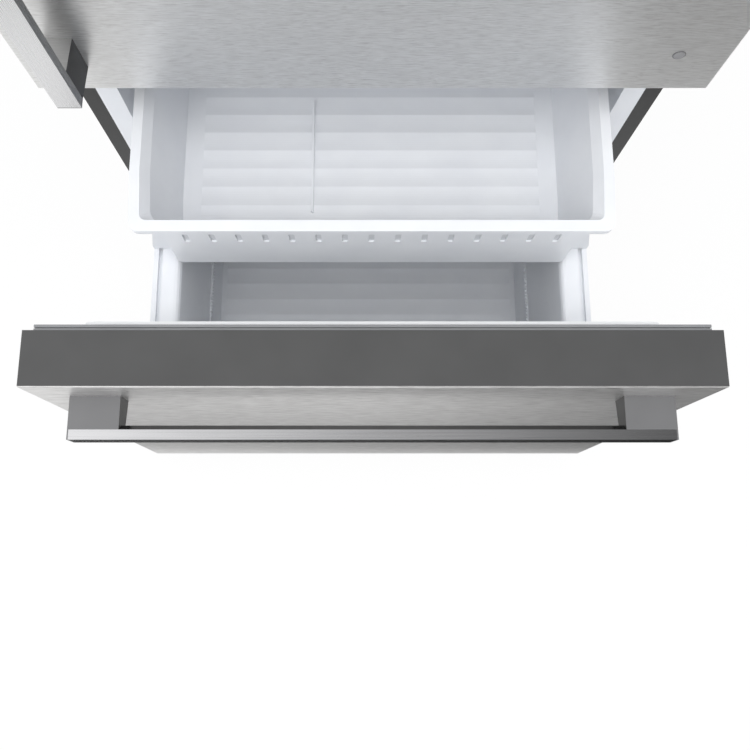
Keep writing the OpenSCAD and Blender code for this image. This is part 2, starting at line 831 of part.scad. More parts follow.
hinge_x = body_w / 2 - hinge_inset_x;
hinge_y = hinge_inset_y;
pin_r = hinge_pin_dia / 2;
pin_reach = 22;
hinge_boss_r = 9;
hinge_arm_w = 42;

// A plate that tapers from its bolted end to the pin's boss
module hinge_arm(back_y, t) {
    translate([hinge_x, hinge_y, 0]) cylinder(h = t, r = hinge_boss_r);
    linear_extrude(t) polygon([[hinge_x + hinge_boss_r, hinge_y], [hinge_x + hinge_boss_r, back_y],
        [hinge_x + hinge_boss_r - hinge_arm_w, back_y], [hinge_x - hinge_boss_r, hinge_y]]);
}

module top_hinge() {
    plate_l = 70;
    bolt_r = 4;
    bolt_set = 22;
    bolt_y = cab_y0 + bolt_set;
    bolt_pitch = 30;
    color(zinc_colour) placed() {
        translate([0, 0, cabinet_top]) hinge_arm(cab_y0 + plate_l, hinge_plate_t);
        translate([hinge_x, hinge_y, cabinet_top - pin_reach]) cylinder(h = pin_reach + film, r = pin_r);
        for (i = [0, 1]) {
            translate([hinge_x - hinge_arm_w / 3, bolt_y + i * bolt_pitch, cabinet_top + hinge_plate_t])
                cylinder(h = bolt_r, r = 1.7 * bolt_r, $fn = 6);
        }
    }
}

hinge_cover_h = 24;

// Moulded cover over the top hinge
module hinge_cover() {
    cover_w = 104;
    draft = 3;
    r = 12;
    wall = 2;
    front_l = 16;
    back_l = 84;
    y = [hinge_y - front_l, cab_y0 + back_l];
    z = [cabinet_top, cabinet_top + hinge_cover_h];
    color(dark_colour) placed() translate([(body_w - cover_w) / 2, 0, 0])
        difference() {
            loft_z(cover_w, y, cover_w - 2 * draft, grow(y, -draft), z, r, r);
            loft_z(cover_w - 2 * wall, grow(y, -wall), cover_w - 2 * draft - 2 * wall,
                grow(y, -draft - wall), [z[0] - film, z[1] - wall], r - wall, r - wall);
        }
}

// Bracket between the doors: bolted flange, arm, washer collar and upward pin
module centre_hinge() {
    z0 = gap_mid - hinge_plate_t / 2;
    flange_h = door_gap * 1.6;
    color(zinc_colour) placed() {
        translate([0, 0, z0]) hinge_arm(cab_y0, hinge_plate_t);
        box([hinge_x + hinge_boss_r - hinge_arm_w, hinge_x + hinge_boss_r], [cab_y0 - hinge_plate_t, cab_y0],
            [gap_mid - flange_h / 2, gap_mid + flange_h / 2]);
        translate([hinge_x, hinge_y, z0 + hinge_plate_t])
            cylinder(h = fridge_bottom - run_gap - z0 - hinge_plate_t, r = 1.7 * pin_r);
        translate([hinge_x, hinge_y, z0]) cylinder(h = fridge_bottom + pin_reach - over - z0,
            r = pin_r);
    }
}

// Freezer interior

evap_room = 72;
evap_cover_y = inner_back - evap_room;
evap_fan_rise = 215;
evap_fan_z = hump_top + evap_fan_rise;
ring_gap = 5;
evap_fan_ring = evaporator_fan_dia / 2 + ring_gap;

// Moulded panel in front of the evaporator, with a fan grille and return slots
module evaporator_cover() {
    wall = 3;
    side_gap = 1;
    cover_w = inner_w - 2 * side_gap;
    z = [hump_top + run_gap, freezer_ceiling - run_gap];
    grille_bar = 3;
    ring_step = 15;
    return_slot_w = 34;
    return_slot_h = 7;
    return_rise = 22;
    color(liner_colour) placed() {
        along_y([evap_cover_y, evap_cover_y + wall]) difference() {
            translate([0, (z[0] + z[1]) / 2]) rounded(cover_w, z[1] - z[0], liner_r - side_gap);
            translate([0, evap_fan_z]) circle(evap_fan_ring);
            for (i = [-6 : 6]) {
                for (j = [0, 1]) {
                    translate([i * 1.3 * return_slot_w, z[0] + return_rise + j * 2 * return_slot_h])
                        rounded(return_slot_w, return_slot_h, return_slot_h / 2 - film);
                }
            }
        }
        along_y([evap_cover_y, evap_cover_y + wall]) translate([0, evap_fan_z]) {
            for (r = [ring_step : ring_step : evap_fan_ring]) {
                difference() {
                    circle(r);
                    circle(r - grille_bar);
                }
            }
            difference() {
                for (a = [0 : 45 : 135]) {
                    rotate([0, 0, a]) square([2 * evap_fan_ring + film, grille_bar], center = true);
                }
                circle(ring_step - grille_bar / 2);
            }
            circle(ring_step - grille_bar / 2);
        }
        both_sides() box([cover_w / 2 - wall, cover_w / 2], [evap_cover_y + wall, inner_back],
            [z[0] + liner_r, z[1] - liner_r]);
    }
}

evap_side = 68;
evap_core_w = inner_w - 2 * evap_side;
evap_core_set = 36;
evap_core_y = inner_back - evap_core_set;

// Finned tube evaporator
module evaporator() {
    rows = 5;
    pitch = 27;
    tube_r = 4;
    fin_t = 1;
    fin_count = 15;
    fin_d = 34;
    rise = 14;
    base = hump_top + rise;
    tube_y = evap_core_y + fin_d / 4;
    color(zinc_colour) placed() translate([0, tube_y, base]) {
        translate([0, 0, pitch / 2]) serpentine(evap_core_w, pitch, rows, tube_r);
        for (i = [0 : fin_count - 1]) {
            translate([(i / (fin_count - 1) - 0.5) * evap_core_w * 0.94, 0, 0])
                bar_x(fin_t, [-fin_d / 2, fin_d / 2], [0, rows * pitch]);
        }
        for (side = [-1, 1]) {
            translate([side * evap_core_w * 0.49, 0, 0])
                bar_x(2 * fin_t, [-fin_d / 2, inner_back - tube_y], [0, rows * pitch]);
        }
    }
}

evap_fan_w = 22;
evap_fan_set = 8;
evap_fan_y = evap_cover_y + evap_fan_set;
evap_shaft_r = 2;

module evaporator_fan() {
    color(black_colour) placed() translate([0, evap_fan_y + evap_fan_w, evap_fan_z])
        rotate([90, 0, 0]) fan_blades(evaporator_fan_dia, evaporator_fan_dia * 0.18, evap_fan_w, 5,
            evap_shaft_r + pin_gap);
}

// Fan motor, held to the liner's back by a plate with two legs
module evaporator_fan_motor() {
    motor_r = 19;
    motor_gap = 1;
    motor_y0 = evap_fan_y + evap_fan_w + motor_gap;
    plate_t = 2;
    arm_w = 12;
    color(dark_colour) placed() translate([0, 0, evap_fan_z]) {
        along_y([motor_y0, inner_back - plate_t]) circle(motor_r);
        along_y([inner_back - plate_t, inner_back]) rounded(5 * motor_r, 2 * motor_r, arm_w / 2);
        along_y([evap_fan_y + evap_fan_w * 0.4, motor_y0 + film]) circle(evap_shaft_r);
    }
}

// Fridge interior

tower_w = 170;
tower_d = 26;
shelf_set = 150;
shelf_y0 = cab_y0 + shelf_set;
shelf_d = inner_back - tower_d - shelf_back_gap - shelf_y0;
crisper_d = shelf_d - crisper_short;
shelf_clear = 2;
shelf_w = inner_w - 2 * shelf_clear;
shelf_h = 16;
glass_t = 4;
frame_band = 22;
front_band = 30;
shelf_r = 5;

// Frame of one shelf, with the pocket that holds its glass
module shelf_frame(top) {
    y = [shelf_y0, shelf_y0 + shelf_d];
    difference() {
        rounded_z(shelf_w, y, [top, top + shelf_h], shelf_r);
        rounded_z(shelf_w - 2 * frame_band, [y[0] + front_band, y[1] - frame_band],
            [top - over, top + shelf_h + over], shelf_r);
        rounded_z(shelf_w - frame_band, [y[0] + front_band - frame_band / 2, y[1] - frame_band / 2],
            [top + shelf_h - glass_t, top + shelf_h + over], shelf_r);
        bar_x(shelf_w - 2 * frame_band, [y[0] + front_band * 0.4, y[1] - frame_band * 0.4],
            [top - over, top + shelf_h * 0.4]);
    }
}

module shelf_frames() {
    color(liner_colour) placed() for (rise = shelf_rise) {
        shelf_frame(fridge_floor + rise);
    }
}

// A pane that lies in its frame's pocket with a running gap on every side
module glass_pane(top, w, y) {
    rounded_z(w - 2 * run_gap, grow(y, -run_gap), [top - glass_t, top], shelf_r);
}

crisper_room = 12;
crisper_rise = crisper_h + crisper_room;

module shelf_glass() {
    y = [shelf_y0 + front_band - frame_band / 2, shelf_y0 + shelf_d - frame_band / 2];
    color(clear_colour) placed() for (rise = concat(shelf_rise, [crisper_rise])) {
        glass_pane(fridge_floor + rise + shelf_h, shelf_w - frame_band, y);
    }
}

// Cover over the crispers: a shelf frame with side and centre legs down to the floor
module crisper_cover() {
    leg_t = 4;
    leg_y = [shelf_y0 + frame_band, shelf_y0 + shelf_d];
    top = fridge_floor + crisper_rise;
    color(liner_colour) placed() {
        shelf_frame(top);
        box([-leg_t / 2, leg_t / 2], leg_y, [fridge_floor, top]);
        bar_x(frame_band, leg_y, [top, top + shelf_h - glass_t]);
        both_sides() box([shelf_w / 2 - leg_t, shelf_w / 2], leg_y, [fridge_floor + liner_r, top]);
    }
}

crisper_gap = 8;
crisper_w = shelf_w / 2 - 2 * crisper_gap;
crisper_x = shelf_w / 4 - 1;

// Drawer with drafted walls, a rolled rim and a scooped front grip
module crisper() {
    wall = 2.6;
    draft = 9;
    front_t = 8;
    rim_h = 5;
    grip_r = 26;
    corner = 14;
    z = [fridge_floor + run_gap, fridge_floor + run_gap + crisper_h];
    y = lift([0, crisper_d], shelf_y0 + front_t);
    back_set = 2;
    difference() {
        union() {
            loft_z(crisper_w - 2 * draft, [y[0] + back_set, y[1] - draft], crisper_w - 2 * wall,
                [y[0] + back_set, y[1] - wall], z, corner, corner);
            rounded_z(crisper_w, y, [z[1] - rim_h, z[1]], corner / 2);
            rounded_z(crisper_w, [y[0], y[0] + front_t], [z[0] + wall, z[1]], front_t / 3);
        }
        loft_z(crisper_w - 2 * draft - 2 * wall, [y[0] + front_t, y[1] - draft - wall],
            crisper_w - 4 * wall, [y[0] + front_t, y[1] - 2 * wall], [z[0] + wall, z[1] + film],
            corner - wall, corner - wall);
        translate([0, y[0] - over, z[1] - grip_r * 1.35]) rotate([-90, 0, 0])
            cylinder(h = front_t / 2 + over, r = grip_r);
    }
}

module crisper_left() {
    color(clear_colour) placed() translate([-crisper_x, 0, 0]) crisper();
}

module crisper_right() {
    color(clear_colour) placed() translate([crisper_x, 0, 0]) crisper();
}

// Air duct up the compartment's back, with pairs of outlets at each shelf
module air_tower() {
    wall = 2.5;
    end_gap = 55;
    slope = 8;
    corner = 12;
    vent_rise = 55;
    z = [fridge_floor + crisper_rise + end_gap, inner_top - end_gap];
    vent_w = 46;
    vent_h = 7;
    y = [inner_back - tower_d, inner_back];
    color(liner_colour) placed() difference() {
        loft_y(tower_w - 2 * slope, grow(z, -slope), tower_w, z, y, corner, corner);
        loft_y(tower_w - 2 * (slope + wall), grow(z, -slope - wall), tower_w - 2 * wall, grow(z, -wall),
            [y[0] + wall, y[1] + film], corner - wall, corner - wall);
        for (rise = shelf_rise) {
            for (side = [-1, 1]) {
                for (k = [0 : 2]) {
                    translate([side * tower_w * 0.24, 0, fridge_floor + rise + vent_rise + k * 2 * vent_h])
                        along_y([y[0] - over, y[0] + 2 * wall])
                        rounded(vent_w, vent_h, vent_h / 2 - film);
                }
            }
        }
    }
}

lens_set = 100;
lens_l = 100;
lens_y = lift([0, lens_l], cab_y0 + lens_set);

// Diffuser of the ceiling light
module light_lens() {
    lens_w = 260;
    lens_h = 12;
    draft = 8;
    color([0.97, 0.97, 0.93]) placed() loft_z(lens_w - 2 * draft, grow(lens_y, -draft), lens_w,
        lens_y, [inner_top - lens_h, inner_top], draft, draft);
}

// Touch panel on the ceiling, in front of the light
module control_panel() {
    panel_w = 300;
    panel_h = 16;
    ridge_room = 12;
    lens_gap = 4;
    y = [door_t + ridge_h + ridge_room, lens_y[0] - lens_gap];
    color(dark_colour) placed() along_x([-panel_w / 2, panel_w / 2]) polygon([[y[0], inner_top],
        [y[1], inner_top], [y[1], inner_top - panel_h / 2], [y[0] + panel_h, inner_top - panel_h],
        [y[0], inner_top - panel_h * 0.7]]);
}

// Doors

// Plan of a door's outline, with the folds at its front corners
module door_plan(inset) {
    w = body_w - 2 * inset;
    r = fold_r - inset;
    translate([-w / 2, inset + r]) square([w, door_t - inset - r]);
    translate([-w / 2 + r, inset]) square([w - 2 * r, door_t - inset]);
    for (x = [-1, 1]) {
        translate([x * (w / 2 - r), inset + r]) circle(r);
    }
}

hem_r = 1.6;
back_fold_w = 9;

// Folded stainless front with its returns, and a rounded hem over each cap's front edge
module door_skin(z) {
    difference() {
        translate([0, 0, z[0] + cap_lip]) linear_extrude(z[1] - z[0] - 2 * cap_lip) door_plan(0);
        translate([0, 0, z[0]]) linear_extrude(z[1] - z[0]) difference() {
            door_plan(skin_t);
            translate([0, door_t]) square([body_w, 2 * skin_t], center = true);
        }
        bar_x(body_w - 2 * skin_t - 2 * back_fold_w, [door_t - 2 * skin_t, door_t + over],
            [z[0], z[1]]);
    }
    intersection() {
        translate([0, 0, z[0]]) linear_extrude(z[1] - z[0]) door_plan(0);
        along_x([-body_w / 2, body_w / 2]) for (end = [0, 1]) {
            translate([0, z[end]]) {
                if (end == 0) hem_section();
                else mirror([0, 1]) hem_section();
            }
        }
    }
}

// Section of a hem at a door's lower edge, drawn from the edge upwards
module hem_section() {
    translate([0, hem_r]) square([hem_r, cap_lip - hem_r]);
    intersection() {
        translate([hem_r, hem_r]) circle(hem_r);
        square(hem_r);
    }
}

// Moulded caps that close the skin's top and bottom
module door_caps(z) {
    for (end = [0, 1]) {
        lip = end == 0 ? [z[0], z[0] + cap_lip] : [z[1] - cap_lip, z[1]];
        plug = end == 0 ? [z[0] + cap_lip, z[0] + cap_h] : [z[1] - cap_h, z[1] - cap_lip];
        translate([0, 0, lip[0]]) linear_extrude(cap_lip) intersection() {
            door_plan(0);
            translate([-body_w / 2, hem_r]) square([body_w, door_t - hem_r]);
        }
        translate([0, 0, plug[0]]) linear_extrude(plug[1] - plug[0]) intersection() {
            door_plan(skin_t);
            door_core_band();
        }
    }
}

// The part of a door's depth between its skin and its inner liner
module door_core_band() {
    translate([-body_w / 2, skin_t]) square([body_w, door_t - liner_t - skin_t]);
}

// Foam block between the caps, in front of the inner liner
module door_foam(z) {
    translate([0, 0, z[0] + cap_h]) linear_extrude(z[1] - z[0] - 2 * cap_h) intersection() {
        door_plan(skin_t);
        door_core_band();
    }
}

// Flat sheet of an inner liner, inside the skin's returns
module liner_sheet(z) {
    bar_x(body_w - 2 * skin_t, [door_t - liner_t, door_t - 2 * skin_t],
        [z[0] + cap_lip, z[1] - cap_lip]);
    bar_x(body_w - 2 * skin_t - 2 * back_fold_w - 2 * film, [door_t - 2 * skin_t - film, door_t],
        [z[0] + cap_lip, z[1] - cap_lip]);
}

// Magnetic seal: a flat base, a neck, and the bulb that meets the cabinet
module door_seal(w, z, reach) {
    base = door_t + reach * 0.55;
    neck = door_t + reach * 0.68;
    neck_in = 2.5;
    seal_layer(w, z, 0, [door_t, base]);
    seal_layer(w, z, neck_in, [base, neck]);
    seal_layer(w, z, 0, [neck, door_t + reach]);
}

// One layer of a seal: a mitred frame whose edges are both set in
module seal_layer(w, z, inset, y) {
    inner = seal_strip - inset;
    along_y(y) difference() {
        translate([-w / 2 + inset, z[0] + inset]) square([w - 2 * inset, z[1] - z[0] - 2 * inset]);
        translate([-w / 2 + inner, z[0] + inner]) square([w - 2 * inner, z[1] - z[0] - 2 * inner]);
    }
}

freezer_door_z = [door_bottom, freezer_top];
fridge_door_z = [fridge_bottom, fridge_top];
seal_reach = seal_gap - run_gap;

// Section of a handle bar: flat front, chamfers along its back edges
module bar_section() {
    polygon([[-handle_out, 0], [-handle_out + bar_d - bar_chamfer_d, 0],
        [-handle_out + bar_d, -bar_chamfer_h], [-handle_out + bar_d, -bar_h + bar_chamfer_h],
        [-handle_out + bar_d - bar_chamfer_d, -bar_h], [-handle_out, -bar_h]]);
}

// Side view of a bracket: deeper where it meets the door
module bracket_section(root_h) {
    back = -handle_out + bar_d - bar_chamfer_d;
    polygon([[0, 0], [back, 0], [back - bar_chamfer_d, -bar_h / 2], [back, -bar_h], [0, -root_h]]);
}

// A bracket behind the bar, with the plate that closes the bar's end
module bracket(x, plate_x, root_h) {
    along_x(x) difference() {
        bracket_section(root_h);
        bar_section();
    }
    along_x(plate_x) {
        bracket_section(root_h);
        bar_section();
    }
}

// Freezer door

module freezer_door_skin() {
    color(steel_colour) on_drawer() door_skin(freezer_door_z);
}

module freezer_door_caps() {
    color(dark_colour) on_drawer() door_caps(freezer_door_z);
}

freezer_plug_z = [freezer_floor_z + plug_gap, freezer_top - freezer_plug_drop];
freezer_plug_w = inner_w - 2 * plug_gap;
plug_draft = 8;

// The raised field and its root, which is wider at the sides and below
module freezer_plug(shrink, y0) {
    z = grow(freezer_plug_z, -shrink);
    loft_y(freezer_plug_w + 2 * (plug_draft - shrink), [z[0] - plug_draft, z[1]],
        freezer_plug_w - 2 * shrink, z, [y0, door_t + freezer_plug_h - shrink], liner_r, liner_r);
}

module freezer_door_foam() {
    color(foam_colour) on_drawer() {
        door_foam(freezer_door_z);
        freezer_plug(liner_t, door_t - liner_t - film);
    }
}

// Plug liner of the freezer door, with its drafted raised field
module freezer_door_liner() {
    color(liner_colour) on_drawer() difference() {
        union() {
            liner_sheet(freezer_door_z);
            freezer_plug(0, door_t - film);
        }
        freezer_plug(liner_t, door_t - liner_t - film);
    }
}

module freezer_door_seal() {
    color(seal_colour) on_drawer() door_seal(body_w - 2 * freezer_seal_side,
        [freezer_floor_z - seal_strip - plug_gap, freezer_top - freezer_seal_inset], seal_reach);
}

freezer_bar_z = freezer_top - freezer_bar_drop;
freezer_bar_end = body_w / 2 - freezer_bar_side;
freezer_plate_x = [freezer_bar_end - end_plate_t, freezer_bar_end];

module freezer_handle_bar() {
    color(steel_colour) on_drawer() translate([0, 0, freezer_bar_z])
        along_x([-freezer_plate_x[0], freezer_plate_x[0]]) bar_section();
}

module freezer_handle_brackets() {
    color(dark_colour) on_drawer() both_sides() translate([0, 0, freezer_bar_z])
        bracket([freezer_bar_end - freezer_bracket_l, freezer_plate_x[0]], freezer_plate_x, bracket_root_h);
}

// Freezer drawer

frame_x = inner_w / 2 - rail_stack;
frame_t = 2;
frame_shelf_w = 42;
frame_short = 10;
frame_l = rail_l - frame_short;
frame_y0 = door_t + freezer_plug_h;
frame_z = [rail_z - rail_h / 2, rail_z + rail_h / 2];
cross_set = 40;
cross_y = frame_y0 + frame_l - cross_set;
cross_h = 20;

// Welded frame: two side rails with a shelf, front plates bolted to the door, and a cross bar
module drawer_frame() {
    plate_h = 190;
    plate_rise = 5;
    bolt_set = 14;
    plate_z = grow([rail_z + plate_rise, rail_z + plate_rise], plate_h / 2);
    plate_w = 48;
    brace_d = 60;
    bolt_r = 4;
    color(zinc_colour) on_drawer() {
        both_sides() {
            box([frame_x - frame_t, frame_x], [frame_y0, frame_y0 + frame_l], frame_z);
            box([frame_x - frame_shelf_w, frame_x], [frame_y0, frame_y0 + frame_l],
                [frame_z[1] - frame_t, frame_z[1]]);
            box([frame_x - plate_w, frame_x], [frame_y0, frame_y0 + frame_t], plate_z);
            along_x([frame_x - frame_t, frame_x]) polygon([[frame_y0, plate_z[1]],
                [frame_y0 + frame_t, plate_z[1]], [frame_y0 + brace_d, frame_z[1]],
                [frame_y0, frame_z[1]]]);
            along_x([frame_x - frame_t, frame_x]) polygon([[frame_y0, plate_z[0]],
                [frame_y0 + frame_t, plate_z[0]], [frame_y0 + brace_d, frame_z[0]],
                [frame_y0, frame_z[0]]]);
            for (z = [plate_z[0] + bolt_set, plate_z[1] - bolt_set, rail_z]) {
                translate([frame_x - plate_w + 3 * bolt_r, frame_y0 + frame_t, z]) rotate([-90, 0, 0])
                    cylinder(h = bolt_r, r = 1.7 * bolt_r, $fn = 6);
            }
        }
        difference() {
            bar_x(2 * (frame_x - frame_t), [cross_y, cross_y + cross_h],
                [frame_z[0] + frame_t * 2, frame_z[0] + frame_t * 2 + cross_h]);
            bar_x(2 * frame_x, [cross_y + frame_t, cross_y + cross_h - frame_t],
                [frame_z[0] + frame_t * 3, frame_z[0] + frame_t + cross_h]);
        }
    }
}

ball_r = 1.1;
ball_sunk = 0.2;
ball_gap = 2 * ball_r - ball_sunk + 2 * run_gap;
rail_mid_h = rail_h - 2 * rail_t - 2 * ball_gap;
rail_in_h = rail_mid_h - 2 * rail_t - 2 * ball_gap;
wall_x = inner_w / 2;

// A channel that is open on one side: x0 is its web's outer face, reach its flange
module channel(x0, reach, h, y) {
    dir = reach > 0 ? 1 : -1;
    along_y(y) translate([x0, rail_z]) {
        translate([dir > 0 ? 0 : -rail_t, -h / 2]) square([rail_t, h]);
        for (side = [-1, 1]) {
            translate([dir > 0 ? 0 : reach, side > 0 ? h / 2 - rail_t : -h / 2])
                square([abs(reach), rail_t]);
        }
    }
}

// Rows of balls above and below a channel
module ball_rows(x, h, y0) {
    ball_count = 6;
    ball_pitch = 22;
    for (i = [0 : ball_count - 1]) {
        for (side = [-1, 1]) {
            translate([x, y0 + i * ball_pitch, rail_z + side * (h / 2 + ball_r - ball_sunk)])
                sphere(ball_r, $fn = 16);
        }
    }
}

rail_set = 2;
rail_y0 = frame_y0 + rail_set;
// Length that the sliding rails are shorter than the fixed ones
rail_short = 20;
ball_run = 130;

module slide_rails_outer() {
    color(zinc_colour) placed() both_sides()
        channel(wall_x, -rail_stack * 0.72, rail_h, [rail_y0, rail_y0 + rail_l]);
}

// The middle rails travel half as far as the drawer
module slide_rails_middle() {
    mid_x = wall_x - rail_t - ball_gap;
    y = lift([rail_y0, rail_y0 + rail_l - rail_short], -drawer_rest / 2);
    color(zinc_colour) placed() both_sides() {
        channel(mid_x, -rail_stack * 0.6, rail_mid_h, y);
        ball_rows(mid_x - rail_stack * 0.3, rail_mid_h, y[1] - ball_run);
    }
}

module slide_rails_inner() {
    y = [rail_y0, rail_y0 + rail_l - rail_short];
    color(zinc_colour) on_drawer() both_sides() {
        channel(frame_x, rail_stack * 0.6, rail_in_h, y);
        ball_rows(frame_x + rail_stack * 0.4, rail_in_h, y[1] - ball_run);
    }
}

bin_rim_z = freezer_top - bin_rim_drop;
bin_set = 4;
bin_y = lift([0, bin_l], frame_y0 + bin_set);
bin_corner = 16;
bin_rim_h = 12;
bin_deep_z = bin_rim_z - bin_deep_h;
bin_shallow_z = bin_rim_z - bin_shallow_h;

// The corrugations of a floor: shallow scallops that meet in ridges, a pitch apart
module floor_ribs(w, y, z) {
    rib_h = 1.6;
    steps = 8;
    count = floor((y[1] - y[0]) / rib_pitch);
    start = (y[0] + y[1] - count * rib_pitch) / 2;
    along_x([-w / 2, w / 2]) polygon(concat([[start, z - film]],
        [for (k = [0 : steps * count]) [start + k * rib_pitch / steps,
            z + rib_h * (1 - sin(90 * (1 - abs((k % steps) * 2 / steps - 1))))]],
        [[start + count * rib_pitch, z - film]]));
}

// Toothed rack on a side wall, where a divider hooks in
module divider_rack(x, y, z) {
    tooth = 5;
    rack_h = 5;
    root = 0.6;
    depth = 3.8;
    count = floor((y[1] - y[0]) / tooth);
    translate([x, y[0], z]) linear_extrude(rack_h) polygon(concat([[0, 0]],
        [for (i = [0 : count - 1]) each [[-root, i * tooth], [-depth, (i + 0.5) * tooth]]],
        [[-root, count * tooth], [0, count * tooth]]));
}

bin_rim_w = 2 * (frame_x - bin_rim_gap);
bin_mouth_w = bin_rim_w - 2 * bin_rim_side;
bin_floor_w = bin_mouth_w - 2 * bin_draft;

// Lower bin: deep in front, shallow over the machine bay, carried by ledges on the frame
module lower_bin() {
    strip_w = 6.2;
    groove_w = 5.2;
    groove_d = 7;
    draft = bin_draft;
    rack_share = 0.3;
    deep_share = bin_deep_h / bin_shallow_h;
    shallow_draft = draft / deep_share;
    shallow_w = bin_mouth_w - 2 * shallow_draft;
    rack_z = bin_deep_z + bin_deep_h * rack_share;
    rack_w = bin_floor_w + 2 * draft * rack_share;
    deep_y = [bin_y[0] + draft, bin_y[0] + draft + bin_deep_l];
    mouth_y = grow(bin_y, -(bin_rim_w - bin_mouth_w) / 12);
    inner_y = grow(mouth_y, -bin_wall);
    ledge_z = frame_z[1];
    ledge_t = 4;
    ledge_set = 30;
    ledge_y = grow([frame_y0, frame_y0 + frame_l], -ledge_set);
    color(basket_colour) on_drawer() {
        difference() {
            union() {
                loft_z(bin_floor_w + 2 * bin_wall, deep_y, bin_mouth_w + 2 * bin_wall,
                    [mouth_y[0], deep_y[1] + draft], [bin_deep_z - bin_wall, bin_rim_z], bin_corner,
                    bin_corner);
                loft_z(shallow_w + 2 * bin_wall, [mouth_y[0] + draft, mouth_y[1] - shallow_draft],
                    bin_mouth_w + 2 * bin_wall, mouth_y, [bin_shallow_z - bin_wall, bin_rim_z],
                    bin_corner, bin_corner);
                rounded_z(bin_rim_w, bin_y, [bin_rim_z - bin_rim_h, bin_rim_z], bin_corner / 2);
                both_sides() box([shallow_w / 2 - bin_wall, frame_x - frame_t * 2], ledge_y,
                    [ledge_z, ledge_z + ledge_t]);
                both_sides() for (i = [0 : 5]) {
                    bin_gusset(shallow_w / 2, ledge_y[0] + i * (ledge_y[1] - ledge_y[0] - bin_wall) / 5,
                        ledge_z + ledge_t);
                }
            }
            loft_z(bin_floor_w, grow(deep_y, -bin_wall), bin_mouth_w, [inner_y[0], deep_y[1] + draft
                - bin_wall], [bin_deep_z, bin_rim_z + over], bin_corner, bin_corner);
            loft_z(shallow_w, [inner_y[0] + draft, inner_y[1] - shallow_draft], bin_mouth_w, inner_y,
                [bin_shallow_z, bin_rim_z + over], bin_corner, bin_corner);
            bin_mouth_roll(inner_y);
            bin_rim_cuts(strip_w, groove_w, groove_d);
        }
        floor_ribs(bin_floor_w - 2 * draft, grow(deep_y, -3 * bin_wall), bin_deep_z);
        floor_ribs(bin_floor_w - 2 * draft, [deep_y[1] + draft + bin_wall, inner_y[1] - 2 * draft],
            bin_shallow_z);
        both_sides() divider_rack(rack_w / 2 + film, [deep_y[0] + draft, deep_y[1] - 2 * bin_wall],
            rack_z);
    }
}

// A stiffening gusset between a ledge and the bin's wall
module bin_gusset(x, y, z) {
    reach = frame_x - frame_t * 4 - x;
    translate([x, y, z]) along_y([0, bin_wall]) polygon([[-bin_wall, 0], [reach, 0], [0, reach],
        [-bin_wall, reach]]);
}

// Grooves in the rim, and the hollow under its flange
module bin_rim_cuts(strip_w, groove_w, groove_d) {
    groove_x = bin_rim_w / 2 - strip_w - groove_w;
    for (side = [-1, 1]) {
        translate([side * (groove_x + groove_w / 2), 0, 0]) bar_x(groove_w, grow(bin_y, -bin_wall),
            [bin_rim_z - groove_d, bin_rim_z + over]);
    }
    both_sides() box([bin_mouth_w / 2 + 2 * bin_wall, groove_x - bin_wall], grow(bin_y, -2 * bin_wall),
        [bin_rim_z - bin_rim_h - over, bin_rim_z - bin_wall]);
}

// Rolls the mouth's inner edge over, as a quarter round in short steps
module bin_mouth_roll(inner_y) {
    r = bin_corner * 0.45;
    for (a = [0, 30, 60]) {
        loft_z(bin_mouth_w + 2 * r * (1 - cos(a)), grow(inner_y, r * (1 - cos(a)) / 4),
            bin_mouth_w + 2 * r * (1 - cos(a + 30)), grow(inner_y, r * (1 - cos(a + 30)) / 4),
            [bin_rim_z - r + r * sin(a), bin_rim_z - r + r * sin(a + 30) + film], bin_corner, bin_corner);
    }
}

// Upper basket

basket_rim_z = freezer_top - basket_rim_drop;
basket_foot = 5;
basket_floor_z = bin_rim_z + basket_foot + bin_wall;
basket_bottom = basket_floor_z - bin_wall;
basket_stop = 10;
basket_y = lift([0, basket_l], bin_y[0] + basket_stop + basket_back);
basket_rim_h = 9;
basket_rim_w = bin_rim_w + 2 * basket_over;
basket_mouth_w = basket_rim_w - 2 * basket_rim_side;
basket_floor_w = basket_mouth_w - 2 * basket_lean;
// The mouth's sides and back slope like a funnel before the walls go down
funnel_w = 9;
funnel_h = 14;
// Distance that each side draws in, over the length behind the front
basket_taper = 3;
basket_taper_l = 65;

// A basket's outline, drawn in a little at its front
module basket_plan(w, y, r) {
    front = w / 2 - basket_taper;
    back = w / 2;
    polygon([[-front, y[0] + r], [r - front, y[0]], [front - r, y[0]], [front, y[0] + r],
        [back, y[0] + basket_taper_l], [back, y[1] - r], [back - r, y[1]], [r - back, y[1]],
        [-back, y[1] - r], [-back, y[0] + basket_taper_l]]);
    for (side = [-1, 1]) {
        translate([side * (front - r), y[0] + r]) circle(r);
        translate([side * (back - r), y[1] - r]) circle(r);
    }
}

module basket_slab(w, y, z, r) {
    translate([0, 0, z[0]]) linear_extrude(z[1] - z[0]) basket_plan(w, y, r);
}

